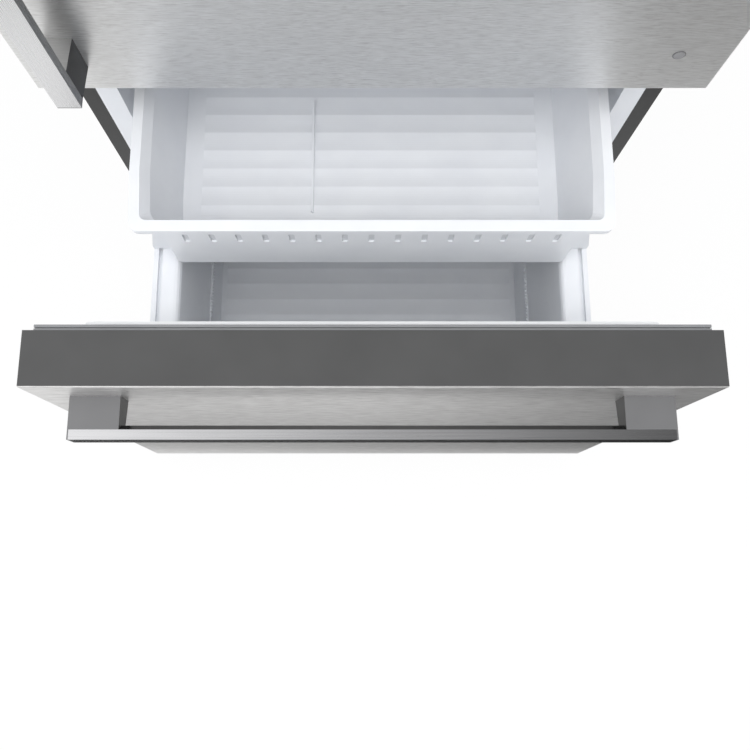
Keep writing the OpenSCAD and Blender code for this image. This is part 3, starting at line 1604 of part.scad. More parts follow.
// The basket's walls as a solid: drafted up to the funnel, then the funnel; top is its upper end
module basket_block(grown, bottom, top) {
    inner_r = 8;
    inner_neck_r = 19.5;
    floor_r = inner_r + grown;
    neck_r = inner_neck_r + grown;
    mouth_r = floor_r;
    front_rim = 14;
    front_draft = 3;
    front_y = basket_y[0] + front_rim;
    back_y = basket_y[1] - basket_rim_side;
    neck_z = basket_rim_z - funnel_h;
    hull($fn = loft_fn) {
        basket_slab(basket_floor_w + 2 * grown, grow([front_y + front_draft,
            back_y - basket_lean / 2], grown), [bottom, bottom + film], floor_r);
        basket_slab(basket_mouth_w - 2 * funnel_w + 2 * grown, grow([front_y, back_y - funnel_w], grown),
            [neck_z - film, neck_z], neck_r);
    }
    hull($fn = loft_fn) {
        basket_slab(basket_mouth_w - 2 * funnel_w + 2 * grown, grow([front_y, back_y - funnel_w], grown),
            [neck_z - film, neck_z], neck_r);
        basket_slab(basket_mouth_w + 2 * grown, grow([front_y, back_y], grown), [top - film, top],
            mouth_r);
    }
}

// Drafted tray with a rolled rim, a slotted apron in front, a corrugated floor, a rib and skids
module upper_basket() {
    rim_r = 12;
    lip_t = 2.5;
    rib_margin = 24.5;
    rib_x = -76.5;
    rib_front = 70;
    rib_l = 160;
    rib_t = 3;
    rib_up = 6;
    skid_set = 23;
    back_skid_set = 80;
    color(basket_colour) on_drawer() {
        difference() {
            union() {
                basket_block(bin_wall, basket_bottom, basket_rim_z);
                difference() {
                    basket_slab(basket_rim_w, basket_y, [basket_rim_z - basket_rim_h, basket_rim_z], rim_r);
                    basket_slab(basket_rim_w - 2 * lip_t, grow(basket_y, -lip_t),
                        [basket_rim_z - basket_rim_h - over, basket_rim_z - lip_t], rim_r - lip_t);
                }
                basket_apron(lip_t);
                both_sides() for (y = [basket_y[0] + skid_set, basket_y[1] - back_skid_set]) {
                    basket_skid(y);
                }
            }
            basket_block(0, basket_floor_z, basket_rim_z + film);
        }
        floor_ribs(basket_floor_w - 2 * rib_margin, grow([basket_y[0], basket_y[1] - basket_rim_side],
            -rib_margin), basket_floor_z);
        translate([rib_x, 0, 0]) bar_x(rib_t, lift([rib_front, rib_front + rib_l], basket_y[0]),
            [basket_floor_z - film, basket_floor_z + rib_up]);
    }
}

// Plate in front of the basket's wall, with its side returns and a row of air slots
module basket_apron(t) {
    apron_w = basket_floor_w + 2;
    corner = 7;
    reach = 21;
    slot_r = 2;
    slot_drop = 17;
    y = basket_y[0] + t;
    top = basket_rim_z - t / 2;
    difference() {
        rounded_y(apron_w, [y, basket_y[0] + reach], [basket_bottom, top], corner);
        bar_x(apron_w - 2 * t, [y + t, basket_y[0] + reach + over], [basket_bottom - over, top + over]);
        for (i = [0 : slot_count - 1]) {
            translate([(i - (slot_count - 1) / 2) * slot_pitch, 0, 0]) rounded_slot([y - over, y + t + over],
                basket_rim_z - slot_drop - slot_h / 2, slot_r);
        }
    }
}

module rounded_slot(y, z, r) {
    along_y(y) translate([0, z]) rounded(slot_w, slot_h, r);
}

// A skid beside the basket that slides on the lower bin's rim: a wedge, open at its back
module basket_skid(y) {
    skid_l = 60;
    skid_h = 80;
    skid_w = 22;
    side_h = 10;
    skid_t = 2.5;
    skid_tip = 4;
    z0 = bin_rim_z + run_gap;
    lean = (basket_lean - funnel_w) / (basket_rim_z - funnel_h - basket_floor_z);
    x1 = bin_rim_w / 2;
    wall0 = basket_floor_w / 2 + bin_wall / 2;
    wall1 = wall0 + lean * (skid_h - basket_foot - bin_wall);
    tip = wall1 + skid_tip;
    hollow_h = skid_h * 0.75;
    hollow_x = x1 + (tip - x1) * (hollow_h - side_h) / (skid_h - side_h) - skid_t * 1.3;
    difference() {
        along_y([y, y + skid_l]) polygon([[x1 - skid_w, z0], [x1, z0], [x1, z0 + side_h],
            [tip, z0 + skid_h], [wall1, z0 + skid_h], [wall0, z0 + basket_foot]]);
        along_y([y + skid_t, y + skid_l + over]) polygon([[x1 - skid_w + skid_t, z0 + skid_t],
            [x1 - skid_t, z0 + skid_t], [x1 - skid_t, z0 + side_h], [hollow_x, z0 + hollow_h],
            [wall0 + skid_t + lean * hollow_h, z0 + hollow_h],
            [wall0 + 2 * skid_t, z0 + basket_foot + skid_t]]);
    }
}

// Fridge door

module fridge_door_skin() {
    color(steel_colour) placed() door_skin(fridge_door_z);
}

bush_r = pin_r + pin_gap;

// End caps, each with the bore that turns on a hinge pin
module fridge_door_caps() {
    color(dark_colour) placed() difference() {
        union() {
            door_caps(fridge_door_z);
            for (z = [fridge_bottom + cap_lip, fridge_top - pin_reach - cap_lip]) {
                translate([hinge_x, hinge_y, z]) cylinder(h = pin_reach, r = hinge_inset_x - 2 * skin_t);
            }
        }
        for (z = [fridge_bottom - over, fridge_top - pin_reach]) {
            translate([hinge_x, hinge_y, z]) cylinder(h = pin_reach + over, r = bush_r);
        }
    }
}

ridge_span = inner_w - 2 * ridge_gap;
ridge_z = grow(fridge_z, -ridge_gap);
ridge_draft = 5;

// Ridges round the inner liner's field; the outer and the inner face lean inwards
module ridge_block(shrink, y0) {
    loft_y(ridge_span - 2 * shrink, grow(ridge_z, -shrink), ridge_span - 2 * ridge_draft - 2 * shrink,
        grow(ridge_z, -ridge_draft - shrink), [y0, door_t + ridge_h - shrink], liner_r, liner_r);
}

module ridge_pocket(shrink) {
    loft_y(ridge_span - 2 * ridge_w - 2 * ridge_draft + 2 * shrink,
        grow(ridge_z, shrink - ridge_w - ridge_draft), ridge_span - 2 * ridge_w + 2 * shrink,
        grow(ridge_z, shrink - ridge_w), [door_t - shrink, door_t + ridge_h + film],
        liner_r, liner_r);
}

module fridge_door_foam() {
    color(foam_colour) placed() difference() {
        union() {
            door_foam(fridge_door_z);
            ridge_block(liner_t, door_t - liner_t - film);
        }
        ridge_pocket(liner_t);
        for (z = [fridge_bottom, fridge_top - pin_reach - 2 * cap_lip]) {
            translate([hinge_x, hinge_y, z]) cylinder(h = pin_reach + 2 * cap_lip,
                r = hinge_inset_x - 2 * skin_t);
        }
    }
}

bin_boss_r = 6;
door_bin_gap = 4;
door_bin_w = ridge_span - 2 * (ridge_w + ridge_draft + door_bin_gap);

// Inner liner with its ridges and the bosses that carry the bins
module fridge_door_liner() {
    color(liner_colour) placed() {
        difference() {
            union() {
                liner_sheet(fridge_door_z);
                ridge_block(0, door_t - film);
            }
            difference() {
                ridge_block(liner_t, door_t - liner_t - film);
                ridge_pocket(liner_t);
            }
            ridge_pocket(0);
        }
        both_sides() for (rise = door_bin_rise) {
            translate([door_bin_w / 2, door_t + ridge_h / 2, fridge_bottom + rise + door_bin_h * 0.3])
                rotate([0, 90, 0]) cylinder(h = ridge_draft + door_bin_gap - over, r = bin_boss_r);
        }
    }
}

module fridge_door_seal() {
    color(seal_colour) placed() door_seal(body_w - 2 * fridge_seal_side,
        [fridge_bottom + seal_inset, fridge_top - seal_inset], seal_reach);
}

// Door bin with drafted walls, a rolled front rim and side pads over the bosses
module door_bin(rise, h) {
    wall = 2.6;
    draft = 8;
    corner = 12;
    rim_h = 7;
    z = [fridge_bottom + rise, fridge_bottom + rise + h];
    y = [door_t, door_t + door_bin_d];
    difference() {
        union() {
            loft_z(door_bin_w - 2 * draft, [y[0], y[1] - draft], door_bin_w - 2 * wall,
                [y[0], y[1] - wall], z, corner, corner);
            rounded_z(door_bin_w, y, [z[1] - rim_h, z[1]], corner / 2);
            both_sides() translate([door_bin_w / 2 - draft, 0, 0]) box([0, draft], grow([door_t
                + ridge_h / 2, door_t + ridge_h / 2], bin_boss_r * 1.6), [z[0] + h * 0.15, z[1]]);
        }
        loft_z(door_bin_w - 2 * draft - 2 * wall, [y[0] + wall, y[1] - draft - wall],
            door_bin_w - 4 * wall, [y[0] + wall, y[1] - 2 * wall], [z[0] + wall, z[1] + film],
            corner - wall, corner - wall);
    }
}

module door_bin_upper() {
    color(clear_colour) placed() door_bin(door_bin_rise[2], door_bin_h);
}

module door_bin_middle() {
    color(clear_colour) placed() door_bin(door_bin_rise[1], door_bin_h);
}

module door_bin_lower() {
    color(clear_colour) placed() door_bin(door_bin_rise[0], door_bin_h * 1.25);
}

fridge_bar_z = fridge_bottom + fridge_bar_rise;

// Stands an outline that is drawn for a level bar upright, at the fridge handle's place
module upright() {
    translate([-body_w / 2 + fridge_bar_side - bar_h / 2, 0, fridge_bar_z]) rotate([0, -90, 0])
        children();
}

module fridge_handle_bar() {
    color(steel_colour) placed() upright()
        along_x([end_plate_t, fridge_bar_l - end_plate_t]) bar_section();
}

module fridge_handle_brackets() {
    top_plate = fridge_bar_l - end_plate_t;
    color(dark_colour) placed() upright() {
        bracket([end_plate_t, fridge_bracket_l], [0, end_plate_t], fridge_root_h);
        bracket([fridge_bar_l - fridge_bracket_l, top_plate], [top_plate, fridge_bar_l], fridge_root_h);
    }
}

plug_rise = 66;

// Plain round plug in the door's face
module door_plug() {
    head_t = 0.8;
    color(zinc_colour) placed() translate([body_w / 2 - plug_side, 0, fridge_bottom + plug_rise]) rotate([90, 0, 0])
        cylinder(h = head_t, r = plug_dia / 2);
}

cabinet_shell();
cabinet_foam();
fridge_liner();
freezer_liner();
back_panel();
mullion_rail();
base_plate();
chassis();
toe_grille();
machine_cover();
compressor();
compressor_mounts();
condenser_coil();
condenser_fan_motor();
condenser_fan();
drain_pan();
top_hinge();
hinge_cover();
centre_hinge();
evaporator_cover();
evaporator();
evaporator_fan_motor();
evaporator_fan();
air_tower();
light_lens();
control_panel();
shelf_frames();
shelf_glass();
crisper_cover();
crisper_left();
crisper_right();
slide_rails_outer();
slide_rails_middle();
slide_rails_inner();
roller_axles();
roller_left();
roller_right();
foot_left();
foot_right();
fridge_door_skin();
fridge_door_foam();
fridge_door_liner();
fridge_door_caps();
fridge_door_seal();
fridge_handle_bar();
fridge_handle_brackets();
door_plug();
door_bin_upper();
door_bin_middle();
door_bin_lower();
freezer_door_skin();
freezer_door_foam();
freezer_door_liner();
freezer_door_caps();
freezer_door_seal();
freezer_handle_bar();
freezer_handle_brackets();
drawer_frame();
lower_bin();
upper_basket();
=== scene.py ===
# %% [markdown]
# # A bottom freezer refrigerator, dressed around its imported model
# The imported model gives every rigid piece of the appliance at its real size: the cabinet,
# the two doors, the drawer with its bins, the hinges and the machinery. This script
# keeps those pieces where they are, gives each one the finish of its real material,
# adds the small things that are pressed, clipped or screwed on, and sets up a studio.
# Sizes of the appliance are in millimetres, and MM turns them into Blender's metres.

import json
import math

import bmesh
import bpy
from mathutils import Matrix, Vector


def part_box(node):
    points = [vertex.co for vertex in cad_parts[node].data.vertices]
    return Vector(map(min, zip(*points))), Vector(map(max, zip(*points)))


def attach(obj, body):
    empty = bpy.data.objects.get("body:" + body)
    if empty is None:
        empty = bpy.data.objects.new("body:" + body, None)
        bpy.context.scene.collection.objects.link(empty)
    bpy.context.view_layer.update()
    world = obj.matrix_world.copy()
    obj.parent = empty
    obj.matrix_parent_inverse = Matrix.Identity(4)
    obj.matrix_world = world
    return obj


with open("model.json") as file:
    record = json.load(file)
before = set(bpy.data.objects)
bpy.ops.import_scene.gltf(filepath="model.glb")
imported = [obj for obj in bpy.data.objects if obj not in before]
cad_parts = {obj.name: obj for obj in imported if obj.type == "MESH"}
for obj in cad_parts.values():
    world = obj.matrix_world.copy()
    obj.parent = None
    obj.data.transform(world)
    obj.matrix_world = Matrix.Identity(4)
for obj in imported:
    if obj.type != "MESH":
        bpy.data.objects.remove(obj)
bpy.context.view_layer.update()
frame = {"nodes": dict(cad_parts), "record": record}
nodes = frame["nodes"]
print("pieces in the frame:", len(nodes))

# %% [markdown]
# ## The camera
# The photograph was taken from above and in front of the open drawer, looking steeply
# down. Its place and its lens were worked out from the corners of the two doors. The
# point that the lens looks at isn't the picture's middle, and the two shifts set that.

# %% Camera
MM = 0.001
PHOTO_PX = 750
SENSOR_MM = 36
focal_px = 833.4
centre_px = (359.5, 350.0)
camera_place = Vector((-14.4, -668.2, 1543.3)) * MM
camera_down_deg = 76.587

camera_data = bpy.data.cameras.new("photo_camera")
camera_data.sensor_width = SENSOR_MM
camera_data.lens = focal_px * SENSOR_MM / PHOTO_PX
camera_data.shift_x = (PHOTO_PX / 2 - centre_px[0]) / PHOTO_PX
camera_data.shift_y = (centre_px[1] - PHOTO_PX / 2) / PHOTO_PX
camera = bpy.data.objects.new("photo_camera", camera_data)
camera.location = camera_place
camera.rotation_euler = (math.radians(90 - camera_down_deg), 0, 0)
bpy.context.scene.collection.objects.link(camera)
bpy.context.scene.camera = camera
print("lens in mm:", round(camera_data.lens, 2))

# %% [markdown]
# ## Colours and nodes
# Every colour is written as the sRGB hex value that it should show, and one function
# turns it to the linear values that the shaders work in. A second function adds a
# node with its settings and its links, and all the finishes below are built with it.


# %% Colours, nodes and links
def linear(code):
    """An sRGB hex code as a linear colour."""
    shown = [int(code[start:start + 2], 16) / 255 for start in (1, 3, 5)]
    flat = [part / 12.92 if part <= 0.04045 else ((part + 0.055) / 1.055) ** 2.4 for part in shown]
    return flat + [1.0]


def add(material, kind, values=None, links=None, **settings):
    """Adds a node: its settings, its sockets' values, and the outputs linked to its sockets."""
    tree = material.node_tree
    made = tree.nodes.new(kind)
    for name, value in settings.items():
        setattr(made, name, value)
    for key, value in (values or {}).items():
        made.inputs[key].default_value = value
    for key, output in (links or {}).items():
        tree.links.new(output, made.inputs[key])
    return made


def link(material, output, target):
    """Links an output to a socket of a node that is there already."""
    material.node_tree.links.new(output, target)


print("mid grey in linear values:", [round(part, 3) for part in linear("#808080")])


# %% A new material
def new_material(name):
    """An empty node material with a Principled shader and an output."""
    material = bpy.data.materials.new(name)
    material.use_nodes = True
    material.node_tree.nodes.clear()
    shader = add(material, "ShaderNodeBsdfPrincipled")
    add(material, "ShaderNodeOutputMaterial", links={"Surface": shader.outputs["BSDF"]})
    return material, shader


def set_inputs(shader, **values):
    """Sets the shader's own sockets; an underscore stands for a space in a socket's name."""
    for name, value in values.items():
        shader.inputs[name.replace("_", " ")].default_value = value


print("a new material has a Principled shader and an output")

# %% [markdown]
# ## What the finishes share
# Every finish has a pattern, which is a noise. It moves the colour between close tones,
# moves the roughness a little, and lifts the surface by a few hundredths of a
# millimetre. A noise's scale says how often its pattern fits in a metre, so it is worked
# out from the pattern's real size. A noise stays mostly between 0.3 and 0.7, so the
# tones are spread between those two.


# %% Scale and tones
def per_metre(size_mm):
    """How often a size in millimetres fits in a metre."""
    return 1000 / size_mm


def tones(material, pattern, dark, light, middle=None):
    """The colours that a pattern passes through, from dark to light."""
    made = add(material, "ShaderNodeValToRGB", links={"Fac": pattern})
    first, last = made.color_ramp.elements
    first.position = 0.3
    first.color = linear(dark)
    last.position = 0.7
    last.color = linear(light)
    if middle:
        made.color_ramp.elements.new(0.5).color = linear(middle)
    return made.outputs["Color"]


print("a grain of 2 mm fits in a metre", per_metre(2), "times")


# %% The surface
def surface(material, shader, colour, pattern, rough, spread, bump, height_mm):
    """Gives the shader its colour, and lets the pattern move its roughness and its bump."""
    gloss = add(material, "ShaderNodeMapRange", {"To Min": rough - spread, "To Max": rough + spread},
                {"Value": pattern})
    relief = add(material, "ShaderNodeBump", {"Strength": bump, "Distance": height_mm * MM},
                 {"Height": pattern})
    link(material, colour, shader.inputs["Base Color"])
    link(material, gloss.outputs["Result"], shader.inputs["Roughness"])
    link(material, relief.outputs["Normal"], shader.inputs["Normal"])


print("the surface takes colour, roughness and bump")

# %% [markdown]
# ## Painted shade on sides and backs
# In the photograph the sides of the handles and their brackets are darker than their
# fronts, and so are the bars' backs. They mirror a dark room and the gap behind the
# bar, where this studio has bright white all round. So that dark reflection is painted
# into the colour, as painted shade: one function picks the faces that look sideways,
# by their normal, and one picks what lies behind a place.


# %% Painted shade on sides and backs
def paint_shade_on_sides(material, colour, dark):
    """The colour, with painted shade on the faces that look sideways, along X."""
    faces = add(material, "ShaderNodeNewGeometry")
    split = add(material, "ShaderNodeSeparateXYZ", links={"Vector": faces.outputs["Normal"]})
    turned = add(material, "ShaderNodeMath", links={0: split.outputs["X"]}, operation="ABSOLUTE")
    sideways = add(material, "ShaderNodeMapRange", {"From Min": 0.5, "From Max": 0.7},
                   {"Value": turned.outputs[0]})
    shaded = add(material, "ShaderNodeMix", {7: linear(dark)},
                 {0: sideways.outputs["Result"], 6: colour}, data_type="RGBA")
    return shaded.outputs[2]


def paint_shade_behind(material, colour, dark, place, behind_mm):
    """The colour, with painted shade behind a place along Y."""
    split = add(material, "ShaderNodeSeparateXYZ", links={"Vector": place})
    behind = add(material, "ShaderNodeMath", {1: behind_mm * MM}, {0: split.outputs["Y"]},
                 operation="GREATER_THAN")
    shaded = add(material, "ShaderNodeMix", {7: linear(dark)},
                 {0: behind.outputs[0], 6: colour}, data_type="RGBA")
    return shaded.outputs[2]


print("sides and backs can be shaded")

# %% [markdown]
# ## Brushed metal
# A brushed sheet was drawn under an abrasive belt, which leaves short, fine scratches
# that all run one way. To the eye that is a soft grain of light and dark streaks, and
# reflections that spread across the grain. The streaks are a noise that is stretched
# along one axis, and a wide, weak noise sways them a little, so that none runs dead
# straight. The tangent points across the grain, and the anisotropy stretches the
# highlights that way.


# %% Swayed grain
def swayed(material, place, every_mm, reach_mm):
    """The place, moved to and fro by a wide noise."""
    sway = add(material, "ShaderNodeTexNoise", {"Scale": per_metre(every_mm), "Detail": 1.0},
               {"Vector": place})
    bent = add(material, "ShaderNodeVectorMath", {1: (0.5, 0.5, 0.5)}, {0: sway.outputs["Color"]},
               operation="SUBTRACT")
    bent = add(material, "ShaderNodeVectorMath", {"Scale": reach_mm * MM}, {0: bent.outputs[0]},
               operation="SCALE")
    moved = add(material, "ShaderNodeVectorMath", links={0: place, 1: bent.outputs[0]}, operation="ADD")
    return moved.outputs[0]


print("grain can be swayed")


# %% Brushed metal
def brushed(name, tint, dark, light, rough, grain_mm, length_mm, along="X", height_mm=0.04,
            spread=0.08, anisotropy=0.0, wave_mm=0.0, behind_mm=None, back=None, sides=None):
    """Metal with streaks that run along one axis: grain_mm is their height. Back is the
    painted shade behind the place behind_mm, and sides is the painted shade on the faces
    that look sideways."""
    material, shader = new_material(name)
    place = add(material, "ShaderNodeTexCoord").outputs["Object"]
    grain_place = swayed(material, place, 2 * length_mm, wave_mm) if wave_mm else place
    scale = [per_metre(grain_mm)] * 3
    scale["XYZ".index(along)] = per_metre(length_mm)
    mapped = add(material, "ShaderNodeMapping", {"Scale": scale}, {"Vector": grain_place})
    streaks = add(material, "ShaderNodeTexNoise", {"Scale": 1.0, "Detail": 3.0, "Roughness": 0.6},
                  {"Vector": mapped.outputs["Vector"]}).outputs["Fac"]
    colour = tones(material, streaks, dark, light, tint)
    # Painted shade: the back and the sides take a darker colour in place of the dark surroundings that
    # they would mirror.
    if back:
        colour = paint_shade_behind(material, colour, back, place, behind_mm)
    if sides:
        colour = paint_shade_on_sides(material, colour, sides)
    surface(material, shader, colour, streaks, rough, spread, bump=0.5, height_mm=height_mm)
    if anisotropy:
        across = add(material, "ShaderNodeTangent", direction_type="RADIAL", axis=along)
        link(material, across.outputs["Tangent"], shader.inputs["Tangent"])
    set_inputs(shader, Metallic=1.0, Anisotropic=anisotropy)
    return material


print("brushed metal can be made")

# %% [markdown]
# ## Stainless sheet of the two fronts
# The fronts are ferritic stainless steel sheet, brushed along the door's width. The
# streaks are a centimetre or two long. The real scratches are finer than a pixel, so
# they are drawn about a millimetre high. The drawer's front is seen at a steep angle,
# where fine streaks close up, so its streaks are drawn coarser still, to show at all.

# %% Stainless sheet
stainless = brushed("brushed_stainless_sheet", "#f3f3f2", "#dfdedd", "#fefefe", rough=0.4,
                    grain_mm=1.0, length_mm=17, anisotropy=0.45, wave_mm=5.0)
drawer_stainless = brushed("brushed_drawer_sheet", "#efeeed", "#d6d5d4", "#fefefd", rough=0.4,
                           grain_mm=1.8, length_mm=22, anisotropy=0.45, wave_mm=5.0)
print("sheets:", stainless.name, drawer_stainless.name)

# %% [markdown]
# ## Steel of the handles
# The two bars are stainless steel too, brushed lengthways with a finer grain. They are
# smoother than the doors, so they mirror more sharply, in long soft stripes. Each bar
# has a bevel along its rear edges, and the painted shade of the back starts at that
# bevel. The upright bar is a little lighter and duller than the drawer's, as in the
# photograph, and its sides have painted shade. Its brackets are steel castings with a
# satin finish, which gives them an even, soft sheen, and their sides have painted shade.

# %% Handle steel
rear_bevel_mm = 5.7
# The bars' backs get this grey: painted shade for the dark gap behind the bar that they mirror.
bar_back_painted_shade = "#434344"
bar_behind_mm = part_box("freezer_handle_bar")[1].y / MM - rear_bevel_mm
upright_behind_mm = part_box("fridge_handle_bar")[1].y / MM - rear_bevel_mm
bar_steel = brushed("brushed_handle_bar_with_painted_back_shade", "#dcdcde", "#d5d5d7", "#e3e3e4", rough=0.16,
                    grain_mm=0.8, length_mm=120, spread=0.04, anisotropy=0.5,
                    behind_mm=bar_behind_mm, back=bar_back_painted_shade)
# Painted shade on the upright bar's back and on its sides.
upright_bar_steel = brushed("brushed_upright_bar_with_painted_shade", "#eaeaeb", "#e3e3e4", "#f1f1f2", rough=0.26,
                            grain_mm=0.8, length_mm=120, along="Z", anisotropy=0.6,
                            behind_mm=upright_behind_mm, back=bar_back_painted_shade, sides="#888888")
# Painted shade on the brackets' sides.
upright_bracket = brushed("satin_steel_bracket_with_painted_side_shade", "#aeaeae", "#a8a8a8", "#b4b4b4", rough=0.34,
                          grain_mm=0.8, length_mm=30, height_mm=0.01, spread=0.04, sides="#363636")
print("bars:", bar_steel.name, upright_bar_steel.name, "and bracket:", upright_bracket.name)

# %% [markdown]
# ## Zinc plate and aluminium
# The rails, the hinges, the chassis and the screws are steel that was plated with zinc
# in a bath: a cool grey with soft patches a few millimetres wide. The evaporator's fins
# are bare aluminium as it leaves the mill. The trims of the shelves and door bins are extruded
# aluminium, etched to a satin surface and anodised, so they show a quiet sheen with
# fine lines along their length. Real lines are finer than half a millimetre, and these
# are drawn a little coarser to show.

# %% Zinc and aluminium
zinc = brushed("zinc_plated_steel", "#b4b8bb", "#9fa4a8", "#c6cacd", rough=0.38, grain_mm=5,
               length_mm=9, height_mm=0.02)
coil_aluminium = brushed("bare_coil_aluminium", "#c9cbcd", "#b9bbbd", "#d5d6d8", rough=0.4,
                         grain_mm=4, length_mm=8, height_mm=0.02)
anodised = brushed("anodised_aluminium_trim", "#d3d5d7", "#c6c8ca", "#dfe0e2", rough=0.34,
                   grain_mm=0.6, length_mm=40, height_mm=0.01)
print("plated and bare metals:", zinc.name, coil_aluminium.name, anodised.name)

# %% [markdown]
# ## Plastic and paint
# A moulded plastic takes its surface from the mould: polished, or spark eroded to a
# fine grain. Paint dries with a slight orange peel. Both are one colour with a soft
# gloss, so they share a function: wide clouds of a slightly darker tone keep the colour
# from looking flat, and a fine noise breaks the gloss. Orange peel is two or three
# millimetres wide, and is drawn so. The grain of a mould is finer than a pixel, so it is
# drawn about a millimetre wide, to show at all.


# %% Plastic and paint
def moulded(name, tint, shade, rough, grain_mm, height_mm, specular=0.5, alpha=1.0, coat=0.0,
            sides=None):
    """Plastic or paint: clouds of a slightly darker tone over a fine grain. Sides is the
    painted shade on the faces that look sideways."""
    cloud_mm = 60
    material, shader = new_material(name)
    place = add(material, "ShaderNodeTexCoord").outputs["Object"]
    clouds = add(material, "ShaderNodeTexNoise", {"Scale": per_metre(cloud_mm), "Detail": 2.0},
                 {"Vector": place}).outputs["Fac"]
    grain = add(material, "ShaderNodeTexNoise", {"Scale": per_metre(grain_mm), "Detail": 2.0},
                {"Vector": place}).outputs["Fac"]
    colour = tones(material, clouds, shade, tint)
    # Painted shade on the faces that look sideways.
    if sides:
        colour = paint_shade_on_sides(material, colour, sides)
    surface(material, shader, colour, grain, rough, spread=0.04, bump=0.4, height_mm=height_mm)
    set_inputs(shader, Specular_IOR_Level=specular, Alpha=alpha, Coat_Weight=coat)
    return material


print("plastic and paint can be made")

# %% [markdown]
# ## White plastics
# The liners are polystyrene sheet, drawn down over a mould by vacuum. The basket and
# the deep bin are moulded by injection. Both come out glossy white with soft
# highlights, and the whites are a little cool, as in the photograph. The deep bin and
# the drawer's inner panel are lighter there than this studio's light makes them, so
# their white is painted lighter: painted light. The backing behind the basket's slots
# is a pale grey, which is painted shade for the shade inside the slots.

# %% White plastics
liner_white = moulded("white_liner_plastic", "#eff1f4", "#ebedf1", rough=0.32, grain_mm=3.0,
                      height_mm=0.02)
# Painted light: the drawer's inner panel gets a lighter copy of the white.
door_white_painted_light = moulded("white_door_liner_plastic_painted_light", "#fcfdfe", "#f8fafb", rough=0.32, grain_mm=3.0,
                     height_mm=0.02)
bin_white = moulded("white_bin_plastic", "#f0f2f5", "#ebedf1", rough=0.34, grain_mm=2.0,
                    height_mm=0.015)
# Painted light: the deep bin gets a lighter copy of the white.
deep_white_painted_light = moulded("white_deep_bin_plastic_painted_light", "#f4f6f9", "#f0f2f6", rough=0.34, grain_mm=2.0,
                     height_mm=0.015)
# Painted shade: the grey of the slots' backing stands for the shade in the pockets.
pocket_painted_shade = moulded("pale_grey_backing_painted_shade", "#dcdee1", "#d7dadd", rough=0.4, grain_mm=2.0,
                      height_mm=0.015)
print("whites:", liner_white.name, door_white_painted_light.name, bin_white.name, deep_white_painted_light.name)

# %% [markdown]
# ## Grey and black plastics, and rubber
# The doors' end caps, the plug and the pads are ABS from a spark-eroded mould: a fine
# grain that takes most of the gloss away. The fans, rollers, feet and grille are black
# polypropylene, and the small covers, motors and control panel are dark grey. The door
# seals are extruded soft vinyl, and the compressor stands on moulded rubber grommets.
# Both are almost matt.

# %% Grey and black plastics, and rubber
cap_grey = moulded("dark_grey_cap_plastic", "#535353", "#4f4f4f", rough=0.46, grain_mm=0.8,
                   height_mm=0.02, specular=0.3)
plug_grey = moulded("grey_plug_plastic", "#8c8c8d", "#868687", rough=0.45, grain_mm=1.0,
                    height_mm=0.01)
pad_grey = moulded("grey_touch_pad_plastic", "#6a6b6d", "#646567", rough=0.45, grain_mm=0.8,
                   height_mm=0.01)
dark_plastic = moulded("dark_grey_moulded_plastic", "#434344", "#3f3f40", rough=0.5, grain_mm=1.2,
                       height_mm=0.03)
black_plastic = moulded("black_moulded_plastic", "#1c1c1d", "#181819", rough=0.5, grain_mm=1.2,
                        height_mm=0.03)
seal_grey = moulded("grey_seal_rubber", "#97989a", "#909193", rough=0.6, grain_mm=1.5,
                    height_mm=0.02)
grommet_rubber = moulded("black_grommet_rubber", "#1a1a1a", "#161616", rough=0.7, grain_mm=1.0,
                         height_mm=0.03)
print("greys and blacks:", cap_grey.name, plug_grey.name, dark_plastic.name, black_plastic.name)

# %% [markdown]
# ## Painted and enamelled steel, and foam
# The cabinet is steel sheet with a charcoal paint, sprayed and baked: nearly black,
# with a low sheen and a slight orange peel. The compressor's can and the condenser's
# tubes have a glossier black enamel, which a clear coat over the base gives. The
# freezer handle's brackets are castings with a satin grey paint. The insulation is
# polyurethane foam, which fills the hollow walls and sets to a dull yellow.

# %% Paint, enamel and foam
cabinet_paint = moulded("charcoal_cabinet_paint", "#2b2b2b", "#282828", rough=0.4, grain_mm=2.5,
                        height_mm=0.02, specular=0.38)
black_enamel = moulded("black_enamelled_steel", "#151516", "#111112", rough=0.28, grain_mm=2.0,
                       height_mm=0.02, coat=0.4)
# The brackets' sides get a darker grey: painted shade.
bracket_grey = moulded("satin_grey_bracket_with_painted_side_shade", "#767677", "#717172", rough=0.36, grain_mm=1.0,
                       height_mm=0.01, sides="#383838")
foam_yellow = moulded("rigid_insulation_foam", "#e6d39a", "#dcc88c", rough=0.85, grain_mm=1.5,
                      height_mm=0.2)
print("paints and foam:", cabinet_paint.name, black_enamel.name, bracket_grey.name, foam_yellow.name)

# %% [markdown]
# ## Clear and milky pieces
# The crispers and door bins are clear polystyrene, the shelves are tempered float
# glass, and the lenses are milky polycarbonate. Clear walls this thin hardly bend what
# is behind them. So they use Alpha, which lets the light straight through, and keep a
# sharp gloss on top of it. Float glass is very slightly wavy, in waves of centimetres.

# %% Clear and milky
clear_plastic = moulded("clear_crisper_plastic", "#e6ecef", "#e0e7eb", rough=0.12, grain_mm=3.0,
                        height_mm=0.01, alpha=0.34)
shelf_glass = moulded("tempered_shelf_glass", "#cfe3e2", "#c9dfde", rough=0.05, grain_mm=20.0,
                      height_mm=0.002, alpha=0.28)
lens_white = moulded("frosted_light_lens", "#fbfbf6", "#f6f6f0", rough=0.45, grain_mm=1.0,
                     height_mm=0.01)
lamp_white = moulded("milky_light_lens", "#e9efe9", "#e2e9e3", rough=0.25, grain_mm=0.6,
                     height_mm=0.005)
print("clear and milky:", clear_plastic.name, shelf_glass.name, lens_white.name, lamp_white.name)
